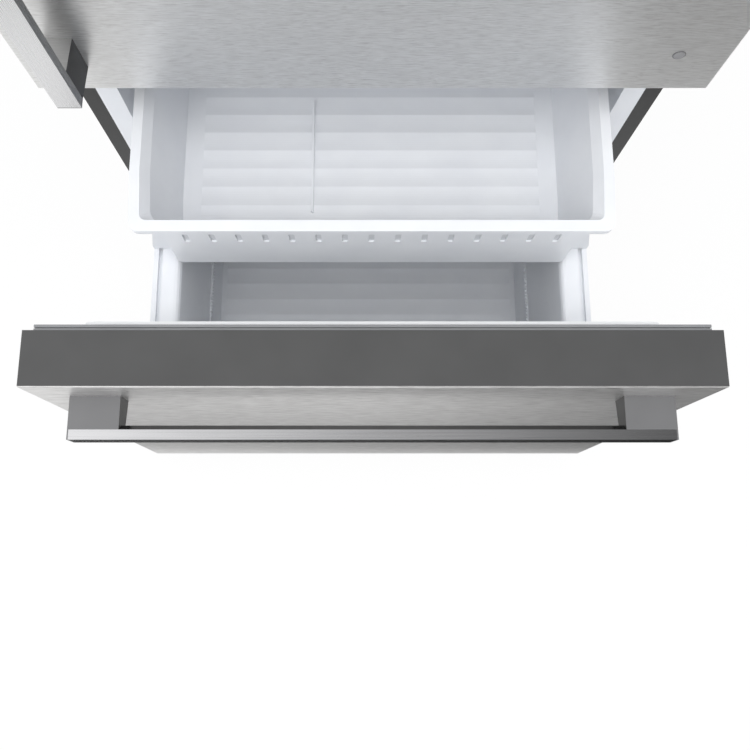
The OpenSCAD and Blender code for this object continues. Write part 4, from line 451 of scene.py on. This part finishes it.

# %% [markdown]
# ## Finishes on the imported pieces
# Each imported piece has a slot, which says what it is made of. A table gives every slot
# its finish, so a new piece of a known material needs no line here. Five pieces are
# seen or lit in another way than the rest of their slot. They get a finish of their
# own, four of them with painted light or painted shade, and a second table names them.

# %% Finishes on the imported pieces
finish_of_slot = {
    "cabinet_paint": cabinet_paint, "foam": foam_yellow, "liner": liner_white,
    "zinc_steel": zinc, "black_plastic": black_plastic, "dark_plastic": dark_plastic,
    "black_steel": black_enamel, "grommet_rubber": grommet_rubber,
    "coil_aluminium": coil_aluminium, "lens_plastic": lens_white, "shelf_glass": shelf_glass,
    "clear_plastic": clear_plastic, "stainless": stainless, "cap_plastic": cap_grey,
    "seal_rubber": seal_grey, "handle_steel": bar_steel, "bracket_metal": bracket_grey,
    "plug_plastic": plug_grey, "bin_plastic": bin_white,
}
finish_of_piece = {
    "fridge_handle_bar": upright_bar_steel, "fridge_handle_brackets": upright_bracket,
    "lower_bin": deep_white_painted_light, "freezer_door_skin": drawer_stainless,
    "freezer_door_liner": door_white_painted_light,
}
slot_of_node = {part["node"]: part["material_slot"] for part in frame["record"]["subparts"]}
for name, piece in nodes.items():
    finish = finish_of_piece.get(name, finish_of_slot[slot_of_node[name]])
    for place in piece.material_slots:
        place.material = finish
print("finished pieces:", len(nodes))

# %% [markdown]
# ## Small pieces, modelled by hand
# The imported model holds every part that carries, moves or fastens. What is left is trim:
# screw heads, the bright strips on the shelves and door bins, and the control panel's
# pads. Each is modelled as a person would do it: a primitive is added, its faces are
# picked by their place or their normal, and it is shaped in edit mode. One of each kind
# is made, and the others are copies, each with its own mesh. An operator acts on
# everything that is selected, so all is deselected before a piece is added.


# %% Deselect, name and apply
def deselect():
    """Leaves edit mode and deselects everything."""
    if bpy.context.mode != "OBJECT":
        bpy.ops.object.mode_set(mode="OBJECT")
    bpy.ops.object.select_all(action="DESELECT")


def name_and_apply(name):
    """Names the new piece and puts its place into its mesh."""
    piece = bpy.context.active_object
    piece.name = piece.data.name = name
    bpy.ops.object.transform_apply(location=True, rotation=True, scale=True)
    return piece


deselect()
print("selected pieces:", len(bpy.context.selected_objects))


# %% Blocks and rods
def add_block(name, low, high):
    """A box between two corners in millimetres, which is the start of a piece."""
    deselect()
    middle = [(a + b) / 2 * MM for a, b in zip(low, high)]
    bpy.ops.mesh.primitive_cube_add(size=1, location=middle)
    bpy.context.active_object.scale = [(b - a) * MM for a, b in zip(low, high)]
    return name_and_apply(name)


def add_rod(name, radius, front, back, x, z, sides, ends="NGON"):
    """A cylinder along Y between two places in millimetres, the start of a round piece."""
    deselect()
    bpy.ops.mesh.primitive_cylinder_add(
        vertices=sides, radius=radius * MM, depth=(back - front) * MM, end_fill_type=ends,
        rotation=(math.pi / 2, 0, 0), location=(x * MM, (front + back) / 2 * MM, z * MM))
    return name_and_apply(name)


print("blocks and rods can be added")


# %% Pick faces and edges
FACING = 0.9  # a face looks along an axis when its normal has more than this along it


def edit(piece, kind):
    """Enters edit mode to pick faces or edges, with none of them picked yet."""
    bpy.context.view_layer.objects.active = piece
    piece.select_set(True)
    bpy.ops.object.mode_set(mode="EDIT")
    bpy.ops.mesh.select_mode(type=kind)
    bpy.ops.mesh.select_all(action="DESELECT")
    return bmesh.from_edit_mesh(piece.data)


def pick_faces(piece, wanted):
    """Selects the faces for which wanted(centre, normal) is true."""
    mesh = edit(piece, "FACE")
    for face in mesh.faces:
        face.select_set(bool(wanted(face.calc_center_median(), face.normal)))
    bmesh.update_edit_mesh(piece.data)


def pick_edges(piece, wanted):
    """Selects the edges for which wanted(one end, other end) is true."""
    mesh = edit(piece, "EDGE")
    for edge in mesh.edges:
        edge.select_set(bool(wanted(edge.verts[0].co, edge.verts[1].co)))
    bmesh.update_edit_mesh(piece.data)


print("faces and edges can be picked")


# %% Push a face in
def push_in(rim_mm, by_mm):
    """Insets the picked face, which leaves a rim, and pushes the rest along Y."""
    bpy.ops.mesh.inset(thickness=rim_mm * MM)
    bpy.ops.mesh.extrude_region_move(TRANSFORM_OT_translate={"value": (0, by_mm * MM, 0)})


print("a picked face can be pushed in")


# %% Finish and copy a piece
def soften(piece, angle_deg=35):
    """Smooth shading on curves, with the sharp corners kept."""
    deselect()
    piece.select_set(True)
    bpy.context.view_layer.objects.active = piece
    bpy.ops.object.shade_smooth_by_angle(angle=math.radians(angle_deg))


def fit(piece, finish, body):
    """Gives a finished piece its finish, and says which body it moves with."""
    piece.data.materials.clear()
    piece.data.materials.append(finish)
    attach(piece, body)


def copy_to(piece, name, shift_mm):
    """A copy with its own mesh, moved in that mesh."""
    twin = piece.copy()
    twin.data = piece.data.copy()
    twin.name = twin.data.name = name
    bpy.context.scene.collection.objects.link(twin)
    twin.data.transform(Matrix.Translation(Vector(shift_mm) * MM))
    return twin


print("pieces can be finished and copied")

# %% [markdown]
# ## Shelf trims
# Each glass shelf ends in an anodised aluminium strip, pressed onto the frame's front
# edge, and so does the crispers' cover. A strip starts as a long block. Its front face
# is inset and pushed in for the shallow groove that the real extrusion has, and its
# front edges are bevelled. The four strips are the same, so the last three are copies
# of the first. The shelves stand at even steps, which are worked out from the box
# round their three frames and the height of one frame.

# %% Heights of the shelves
shelf_low, shelf_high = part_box("shelf_frames")
cover_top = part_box("crisper_cover")[1].z / MM
frame_h = 16
lowest_top = shelf_low.z / MM + frame_h
shelf_rise = (shelf_high.z - shelf_low.z) / MM - frame_h
shelf_tops = [cover_top] + [lowest_top + shelf_rise * step / 2 for step in range(3)]
print("shelf tops at", [round(top) for top in shelf_tops], "mm")

# %% Sizes of a shelf trim
trim_end_gap = 8  # from its end to the frame's side
trim_drop = 2  # from the shelf's top down to it
trim_h = 12
trim_out = 2.2  # before the frame's front
trim_in = 0.4  # pressed into the frame
trim_rim = 2.6  # on each side of the groove
groove_deep = 0.7
trim_round = 0.5
trim_x = shelf_high.x / MM - trim_end_gap
trim_y = shelf_low.y / MM
print("shelf trim length in mm:", round(2 * trim_x))

# %% Shelf trims
HAIR = 0.1  # two places in millimetres that are closer than this count as one
trim = add_block("shelf_trim", (-trim_x, trim_y - trim_out, -trim_drop - trim_h),
                 (trim_x, trim_y + trim_in, -trim_drop))
pick_faces(trim, lambda centre, normal: normal.y < -FACING)
push_in(trim_rim, groove_deep)
pick_edges(trim, lambda one, other: min(one.y, other.y) < (trim_y - trim_out + HAIR) * MM)
bpy.ops.mesh.bevel(offset=trim_round * MM, segments=2)
soften(trim)
trim.data.transform(Matrix.Translation((0, 0, shelf_tops[0] * MM)))
fit(trim, anodised, "cabinet")
for number, top in enumerate(shelf_tops[1:], 2):
    twin = copy_to(trim, "shelf_trim_%d" % number, (0, 0, top - shelf_tops[0]))
    fit(twin, anodised, "cabinet")
print("shelf trims:", len(shelf_tops))

# %% [markdown]
# ## Door bin trims
# The clear bins in the door carry a bright strip along their front rim, which faces
# the shelves. The strip is made in the same way, a little thinner, on the lowest bin.
# It rides on the door, and so do its copies on the two bins above.

# %% Sizes of a door bin trim
bin_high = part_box("door_bin_lower")[1]
strip_end_gap = 8  # from its end to the bin's side
strip_drop = 0.6  # from the bin's rim down to it
strip_h = 6.0
strip_out = 1.4  # past the bin's front, which faces the shelves
strip_in = 0.3  # pressed into the bin
strip_rim = 1.4
strip_deep = 0.4
strip_round = 0.3
strip_x = bin_high.x / MM - strip_end_gap
strip_y = bin_high.y / MM
strip_top = bin_high.z / MM - strip_drop
print("door bin trim length in mm:", round(2 * strip_x))

# %% Door bin trims
strip = add_block("door_bin_trim", (-strip_x, strip_y - strip_in, strip_top - strip_h),
                  (strip_x, strip_y + strip_out, strip_top))
pick_faces(strip, lambda centre, normal: normal.y > FACING)
push_in(strip_rim, -strip_deep)
pick_edges(strip, lambda one, other: max(one.y, other.y) > (strip_y + strip_out - HAIR) * MM)
bpy.ops.mesh.bevel(offset=strip_round * MM, segments=2)
soften(strip)
fit(strip, anodised, "fridge_door")
for number, bin_name in enumerate(("door_bin_middle", "door_bin_upper"), 2):
    rise = (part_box(bin_name)[1].z - bin_high.z) / MM
    twin = copy_to(strip, "door_bin_trim_%d" % number, (0, 0, rise))
    fit(twin, anodised, "fridge_door")
print("door bin trims: 3, the highest", round(rise), "mm over the lowest")

# %% [markdown]
# ## A backing for the basket's slots
# In the photograph the slots in the basket's apron are shallow pockets with a light
# floor. The apron is a plate with holes, so the floor is a strip of pale grey plastic
# clipped behind it; its grey is painted shade for the shade inside the pockets. A block
# is added, its corners are rounded with a bevel, and its back face is inset and pushed
# in, to leave a stiffening rim.

# %% Place and sizes of the slot backing
basket_low, basket_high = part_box("upper_basket")
apron_behind = 5  # from the basket's front edge to the apron's back
slots_drop = 29  # from the basket's rim down to the slots' middle
backing_gap = 0.2
backing_t = 2.4
backing_reach = 232  # to each side, past the last slot
backing_half = 15
backing_round = 3
backing_rim = 1.2
backing_deep = 1.4
backing_y = basket_low.y / MM + apron_behind + backing_gap
slots_z = basket_high.z / MM - slots_drop
print("the slots' middle is at", round(slots_z), "mm")

# %% Slot backing
backing = add_block("basket_slot_backing", (-backing_reach, backing_y, slots_z - backing_half),
                    (backing_reach, backing_y + backing_t, slots_z + backing_half))
pick_edges(backing, lambda one, other: abs(one.y - other.y) > backing_t / 2 * MM)
bpy.ops.mesh.bevel(offset=backing_round * MM, segments=4)
pick_faces(backing, lambda centre, normal: normal.y > FACING)
push_in(backing_rim, -backing_deep)
soften(backing)
# Its pale grey is painted shade.
fit(backing, pocket_painted_shade, "basket")
print("slot backing width in mm:", 2 * backing_reach)

# %% [markdown]
# ## A ring of painted shade round the door's plug
# A thin dark ring round the plain plug near the door's lower corner is painted shade,
# for the shade in the gap round the plug. It starts as an open tube, and a Solidify
# modifier gives it its wall. Its faces point outwards, so the wall grows away from the
# plug.

# %% Plug ring
plug_low, plug_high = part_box("door_plug")
plug_x = (plug_low.x + plug_high.x) / 2 / MM
plug_z = (plug_low.z + plug_high.z) / 2 / MM
plug_r = (plug_high.x - plug_low.x) / 2 / MM
plug_back = plug_high.y / MM
ring_gap = 0.05  # between the plug and the ring
ring_t = 0.8
ring_h = 0.5
ring = add_rod("door_plug_shade_ring", plug_r + ring_gap, plug_back - ring_h, plug_back, plug_x, plug_z,
               sides=48, ends="NOTHING")
wall = ring.modifiers.new("wall", "SOLIDIFY")
wall.thickness = ring_t * MM
wall.offset = 1.0
bpy.ops.object.modifier_apply(modifier="wall")
soften(ring)
# The ring's dark grey is painted shade.
fit(ring, pad_grey, "fridge_door")
print("plug ring faces:", len(ring.data.polygons))

# %% [markdown]
# ## The control panel's pads
# The temperature is set at a dark panel under the fridge compartment's ceiling. Its real
# face has touch pads with a small light over each. They carry no words here. One pad
# is a block with its corners rounded by a bevel and its front edges eased.

# %% Place and sizes of a control pad
panel_low, panel_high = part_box("control_panel")
panel_y = panel_low.y / MM
pad_w = 18
pad_h = 5
pad_drop = 7.4  # from the panel's top down to the pad's middle
pad_out = 0.7
pad_in = 0.3  # sunk into the panel
pad_corner = 2.2
pad_round = 0.25
pad_z = panel_high.z / MM - pad_drop
print("pads are at", round(pad_z, 1), "mm")

# %% One control pad
pad = add_block("control_pad", (-pad_w / 2, panel_y - pad_out, pad_z - pad_h / 2),
                (pad_w / 2, panel_y + pad_in, pad_z + pad_h / 2))
pick_edges(pad, lambda one, other: abs(one.y - other.y) > (pad_out + pad_in) / 2 * MM)
bpy.ops.mesh.bevel(offset=pad_corner * MM, segments=6)
pick_edges(pad, lambda one, other: max(one.y, other.y) < (panel_y - pad_out + HAIR) * MM)
bpy.ops.mesh.bevel(offset=pad_round * MM, segments=2)
soften(pad)
print("control pad faces:", len(pad.data.polygons))

# %% [markdown]
# ## The pads' lights
# One light is a short cylinder, whose front face is inset and drawn out for a domed
# lens. Then the pad and the light are copied together, two to the left of the middle
# and two to the right.

# %% One light
dot_r = 1.1
dot_out = 0.55
dot_in = 0.35  # sunk into the panel
dot_over_pad = 2.0
dot_rim = 0.35
dot_dome = 0.25
dot = add_rod("status_light", dot_r, panel_y - dot_out, panel_y + dot_in, 0,
              pad_z + pad_h / 2 + dot_over_pad, sides=20)
pick_faces(dot, lambda centre, normal: normal.y < -FACING)
push_in(dot_rim, -dot_dome)
soften(dot, 60)
print("light faces:", len(dot.data.polygons))

# %% The row of pads and lights
pad_pitch = 34
for number, place in enumerate((-2, -1, 1, 2), 2):
    shift = (place * pad_pitch, 0, 0)
    fit(copy_to(pad, "control_pad_%d" % number, shift), pad_grey, "cabinet")
    fit(copy_to(dot, "status_light_%d" % number, shift), lamp_white, "cabinet")
fit(pad, pad_grey, "cabinet")
fit(dot, lamp_white, "cabinet")
print("pads with a light:", number)

# %% [markdown]
# ## Screw heads
# Pan-head screws hold the evaporator's cover, the toe grille and the centre hinge. The
# head is a short cylinder whose outer edge is bevelled into a dome. Its cross recess is
# cut with a Boolean modifier by a cross of two blocks, which is the quickest clean way
# to take a shape out of a curved one. It faces forward, like every seat that it is for.

# %% A domed head
head_r = 3.6
head_t = 2.1
head_sunk = 0.1  # into its seat
head_dome = 1.3
screw = add_rod("screw_head", head_r, -head_t, head_sunk, 0, 0, sides=24)
pick_edges(screw, lambda one, other: max(one.y, other.y) < (HAIR - head_t) * MM)
bpy.ops.mesh.bevel(offset=head_dome * MM, segments=4)
print("head faces before the recess:", len(bmesh.from_edit_mesh(screw.data).faces))

# %% Its cross recess
recess_w = 0.9
recess_l = 4.4
recess_deep = 1.2
cutter_out = 1  # so that no face of the cutter lies on the head's top
for wide, high in ((recess_l, recess_w), (recess_w, recess_l)):
    cutter = add_block("recess", (-wide / 2, -head_t - cutter_out, -high / 2),
                       (wide / 2, recess_deep - head_t, high / 2))
    deselect()
    screw.select_set(True)
    bpy.context.view_layer.objects.active = screw
    cut = screw.modifiers.new("recess", "BOOLEAN")
    cut.object = cutter
    cut.operation = "DIFFERENCE"
    cut.solver = "EXACT"
    bpy.ops.object.modifier_apply(modifier="recess")
    bpy.data.objects.remove(cutter)
soften(screw)
print("screw head faces:", len(screw.data.polygons))

# %% [markdown]
# ## Screws in their seats
# A seat is the place on a face where a head lies flat. The three faces are read from
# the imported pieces: the evaporator's cover, the grille, and the centre hinge's plate,
# which lies on the cabinet's front flange. The model screw is at the origin, so each
# copy is moved by its seat, and the model itself is removed.

# %% Screws in their seats
cover_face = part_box("evaporator_cover")[0].y / MM
grille_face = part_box("toe_grille")[0].y / MM
hinge_plate_t = 4
hinge_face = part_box("cabinet_shell")[0].y / MM - hinge_plate_t
side_x = 300
cover_rows = (330, 625)
grille_row = 27
hinge_x = (345, 363)
hinge_rows = (675, 695)
seats = [(x, cover_face, z) for x in (-side_x, 0, side_x) for z in cover_rows]
seats += [(x, grille_face, grille_row) for x in (-side_x, side_x)]
seats += [(x, hinge_face, z) for x in hinge_x for z in hinge_rows]
for number, seat in enumerate(seats, 1):
    fit(copy_to(screw, "screw_head_%d" % number, seat), zinc, "cabinet")
bpy.data.objects.remove(screw)
print("screws:", len(seats))

# %% [markdown]
# ## The studio's floor
# Sizes in the studio are in metres. The photograph has a plain white ground, so the
# floor glows at nearly full white for the camera, for mirrors and through clear walls,
# as the lit sheet under a product does. For the soft light between surfaces it is a
# white matt sheet, which lights the part from below. A Light Path node tells the rays
# apart.


# %% Show another shader
def show(material, output):
    """Puts another shader on the material's output, in place of the Principled one."""
    for item in material.node_tree.nodes:
        if item.type == "OUTPUT_MATERIAL":
            link(material, output, item.inputs["Surface"])


print("another shader can take the output")

# %% Floor
floor_size = 30
floor_glow = 0.94
plain_white = (1, 1, 1, 1)
bpy.ops.mesh.primitive_plane_add(size=floor_size, location=(0, 0, 0))
floor = bpy.context.active_object
floor.name = "studio_floor"
floor_white, floor_shader = new_material("studio_floor_white")
set_inputs(floor_shader, Base_Color=linear("#ffffff"), Roughness=0.9)
rays = add(floor_white, "ShaderNodeLightPath").outputs
seen = rays["Is Camera Ray"]
for kind in ("Is Glossy Ray", "Is Transmission Ray"):
    seen = add(floor_white, "ShaderNodeMath", links={0: seen, 1: rays[kind]},
               operation="MAXIMUM").outputs[0]
share = add(floor_white, "ShaderNodeMath", {1: floor_glow}, {0: seen}, operation="MULTIPLY")
glow = add(floor_white, "ShaderNodeEmission", {"Color": plain_white, "Strength": 1.0})
sheet = add(floor_white, "ShaderNodeMixShader",
            links={0: share.outputs[0], 1: floor_shader.outputs["BSDF"], 2: glow.outputs["Emission"]})
show(floor_white, sheet.outputs[0])
floor.data.materials.append(floor_white)
print("floor width in metres:", floor_size)

# %% [markdown]
# ## The graduated card
# Steel shows what it mirrors. In the photograph its tone goes from bright on the left to
# dim on the right, which a photographer gets with a graduated card beside the part. So
# a long card lies on the floor in front of the appliance, and only mirror-like rays
# see it. The strip next to the appliance fades fast, the strip farther out has its
# brightest place in the middle, and a dark band between them is what the freezer bar's
# front mirrors. The band ends before the place that the upright bar mirrors.


# %% A fade along a coordinate
def fade(material, value, start, end, levels):
    """Levels at the start, the middle and the end of a range of a coordinate."""
    share = add(material, "ShaderNodeMapRange", {"From Min": start, "From Max": end}, {"Value": value})
    ramp = add(material, "ShaderNodeValToRGB", links={"Fac": share.outputs["Result"]})
    ramp.color_ramp.elements.new(0.5)
    top = max(levels)
    for stop, level in zip(ramp.color_ramp.elements, levels):
        stop.color = (level / top, level / top, level / top, 1)
    return add(material, "ShaderNodeMath", {1: top}, {0: ramp.outputs["Color"]},
               operation="MULTIPLY").outputs[0]


print("a fade has three levels")

# %% The card's place
card_w = 6.0
card_l = 3.0
card_y = -2.02  # its middle
card_z = 0.004
bpy.ops.mesh.primitive_plane_add(size=1, location=(0, 0, 0))
card = bpy.context.active_object
card.name = "graduated_card"
for corner in card.data.vertices:
    corner.co = (corner.co.x * card_w, corner.co.y * card_l + card_y, card_z)
print("the card starts", round(-card_y - card_l / 2, 2), "m before the origin")

# %% The card's tone
near_levels = (0.92, 0.43, 0.18)
far_levels = (0.62, 1.3, 0.25)
fade_reach = 0.6  # to each side
near_until = -0.76  # the place along Y where the near levels end
far_from = -1.0  # and where the far ones have taken over
card_tone = new_material("graduated_card_tone")[0]
card_place = add(card_tone, "ShaderNodeTexCoord").outputs["Object"]
card_split = add(card_tone, "ShaderNodeSeparateXYZ", links={"Vector": card_place})
card_x = card_split.outputs["X"]
card_depth = card_split.outputs["Y"]
near = fade(card_tone, card_x, -fade_reach, fade_reach, near_levels)
far = fade(card_tone, card_x, -fade_reach, fade_reach, far_levels)
share = add(card_tone, "ShaderNodeMapRange", {"From Min": near_until, "From Max": far_from},
            {"Value": card_depth})
card_level = add(card_tone, "ShaderNodeMix", links={0: share.outputs["Result"], 2: near, 3: far})
print("card levels:", near_levels, far_levels)

# %% The card's dark band
band_y = -0.645  # its middle
band_half = 0.06
band_edge = 0.085  # from its middle to where the card is bright again
band_end = -0.55  # the place along X where it starts to end
band_gone = -0.585
past_end = 0.2  # added to the distance there, which is more than band_edge
offset = add(card_tone, "ShaderNodeMath", {1: -band_y}, {0: card_depth}, operation="ADD")
distance = add(card_tone, "ShaderNodeMath", links={0: offset.outputs[0]}, operation="ABSOLUTE")
beyond = add(card_tone, "ShaderNodeMapRange",
             {"From Min": band_end, "From Max": band_gone, "To Max": past_end}, {"Value": card_x})
distance = add(card_tone, "ShaderNodeMath", operation="ADD",
               links={0: distance.outputs[0], 1: beyond.outputs["Result"]})
band = add(card_tone, "ShaderNodeMapRange",
           {"From Min": band_half, "From Max": band_edge, "To Min": 0.0},
           {"Value": distance.outputs[0]})
banded = add(card_tone, "ShaderNodeMath", operation="MULTIPLY",
             links={0: card_level.outputs[0], 1: band.outputs["Result"]})
card_glow = add(card_tone, "ShaderNodeEmission", {"Color": plain_white},
                {"Strength": banded.outputs[0]})
show(card_tone, card_glow.outputs[0])
card.data.materials.append(card_tone)
card.visible_camera = False
card.visible_diffuse = False
card.visible_shadow = False
card.visible_transmission = False
print("the dark band is", round(2 * band_half / MM), "mm wide")

# %% [markdown]
# ## Two soft lights
# A large light in front, to the left and above, models the shapes, and one overhead
# fills the drawer's bins. Both are kept out of mirrors: the steel would show them as
# bright squares, and its reflections come from the card and the sky.


# %% Lights
def soft_light(name, place, aim, size, watts):
    """A square area light at a place, turned towards a point, that mirrors don't show."""
    data = bpy.data.lights.new(name, "AREA")
    data.shape = "SQUARE"
    data.size = size
    data.energy = watts
    lamp = bpy.data.objects.new(name, data)
    lamp.location = place
    lamp.rotation_euler = (Vector(aim) - Vector(place)).to_track_quat("-Z", "Y").to_euler()
    lamp.visible_glossy = False
    bpy.context.scene.collection.objects.link(lamp)
    return lamp


front_light = soft_light("front_light", (-1.1, -2.4, 3.0), aim=(0, -0.3, 0.5), size=2.4, watts=30)
top_light = soft_light("top_light", (0, -1.0, 3.6), aim=(0, -0.35, 0.6), size=1.6, watts=36)
print("lights:", front_light.name, top_light.name)

# %% [markdown]
# ## The sky
# The sky is three skies in one, and a Light Path node picks between them. The camera
# sees plain white behind the part. Soft light comes evenly from all round, a little
# cool. Mirrors see a graduated sky in three bands: the lowest is dimmer, the one over
# it is the brightest, and the highest fades most from the left to the right. A place in
# the sky is a direction of length 1, so its X and its height are between -1 and 1.

# %% Levels of the sky that mirrors see
horizon_levels = (0.72, 0.55, 0.40)
low_levels = (1.35, 1.35, 1.05)
high_levels = (1.18, 0.51, 0.10)
horizon_reach = 0.8  # to each side
sky_reach = 0.38
horizon_until = 0.3  # the height where the horizon's levels end
low_from = 0.6  # and where the low ones have taken over
low_until = 0.55
high_from = 0.85
print("sky levels:", horizon_levels, low_levels, high_levels)

# %% The graduated sky
sky = bpy.data.worlds.new("studio_sky")
bpy.context.scene.world = sky
sky.use_nodes = True
sky.node_tree.nodes.clear()
sky_place = add(sky, "ShaderNodeTexCoord").outputs["Generated"]
sky_split = add(sky, "ShaderNodeSeparateXYZ", links={"Vector": sky_place})
sky_x = sky_split.outputs["X"]
sky_up = sky_split.outputs["Z"]
low = fade(sky, sky_x, -sky_reach, sky_reach, low_levels)
high = fade(sky, sky_x, -sky_reach, sky_reach, high_levels)
horizon = fade(sky, sky_x, -horizon_reach, horizon_reach, horizon_levels)
share = add(sky, "ShaderNodeMapRange", {"From Min": low_until, "From Max": high_from},
            {"Value": sky_up})
above = add(sky, "ShaderNodeMix", links={0: share.outputs["Result"], 2: low, 3: high})
share = add(sky, "ShaderNodeMapRange", {"From Min": horizon_until, "From Max": low_from},
            {"Value": sky_up})
sky_level = add(sky, "ShaderNodeMix",
                links={0: share.outputs["Result"], 2: horizon, 3: above.outputs[0]})
print("nodes in the sky so far:", len(sky.node_tree.nodes))

# %% Three skies in one
soft_white = (0.97, 0.98, 1.0, 1)
soft_strength = 0.83
mirrored = add(sky, "ShaderNodeBackground", {"Color": plain_white}, {"Strength": sky_level.outputs[0]})
even = add(sky, "ShaderNodeBackground", {"Color": soft_white, "Strength": soft_strength})
plain = add(sky, "ShaderNodeBackground", {"Color": plain_white, "Strength": 1.0})
rays = add(sky, "ShaderNodeLightPath").outputs
mixed = add(sky, "ShaderNodeMixShader",
            links={0: rays["Is Glossy Ray"], 1: even.outputs[0], 2: mirrored.outputs[0]})
mixed = add(sky, "ShaderNodeMixShader",
            links={0: rays["Is Camera Ray"], 1: mixed.outputs[0], 2: plain.outputs[0]})
add(sky, "ShaderNodeOutputWorld", links={"Surface": mixed.outputs[0]})
bpy.context.scene.view_settings.view_transform = "Standard"
print("soft light from the sky:", soft_strength)
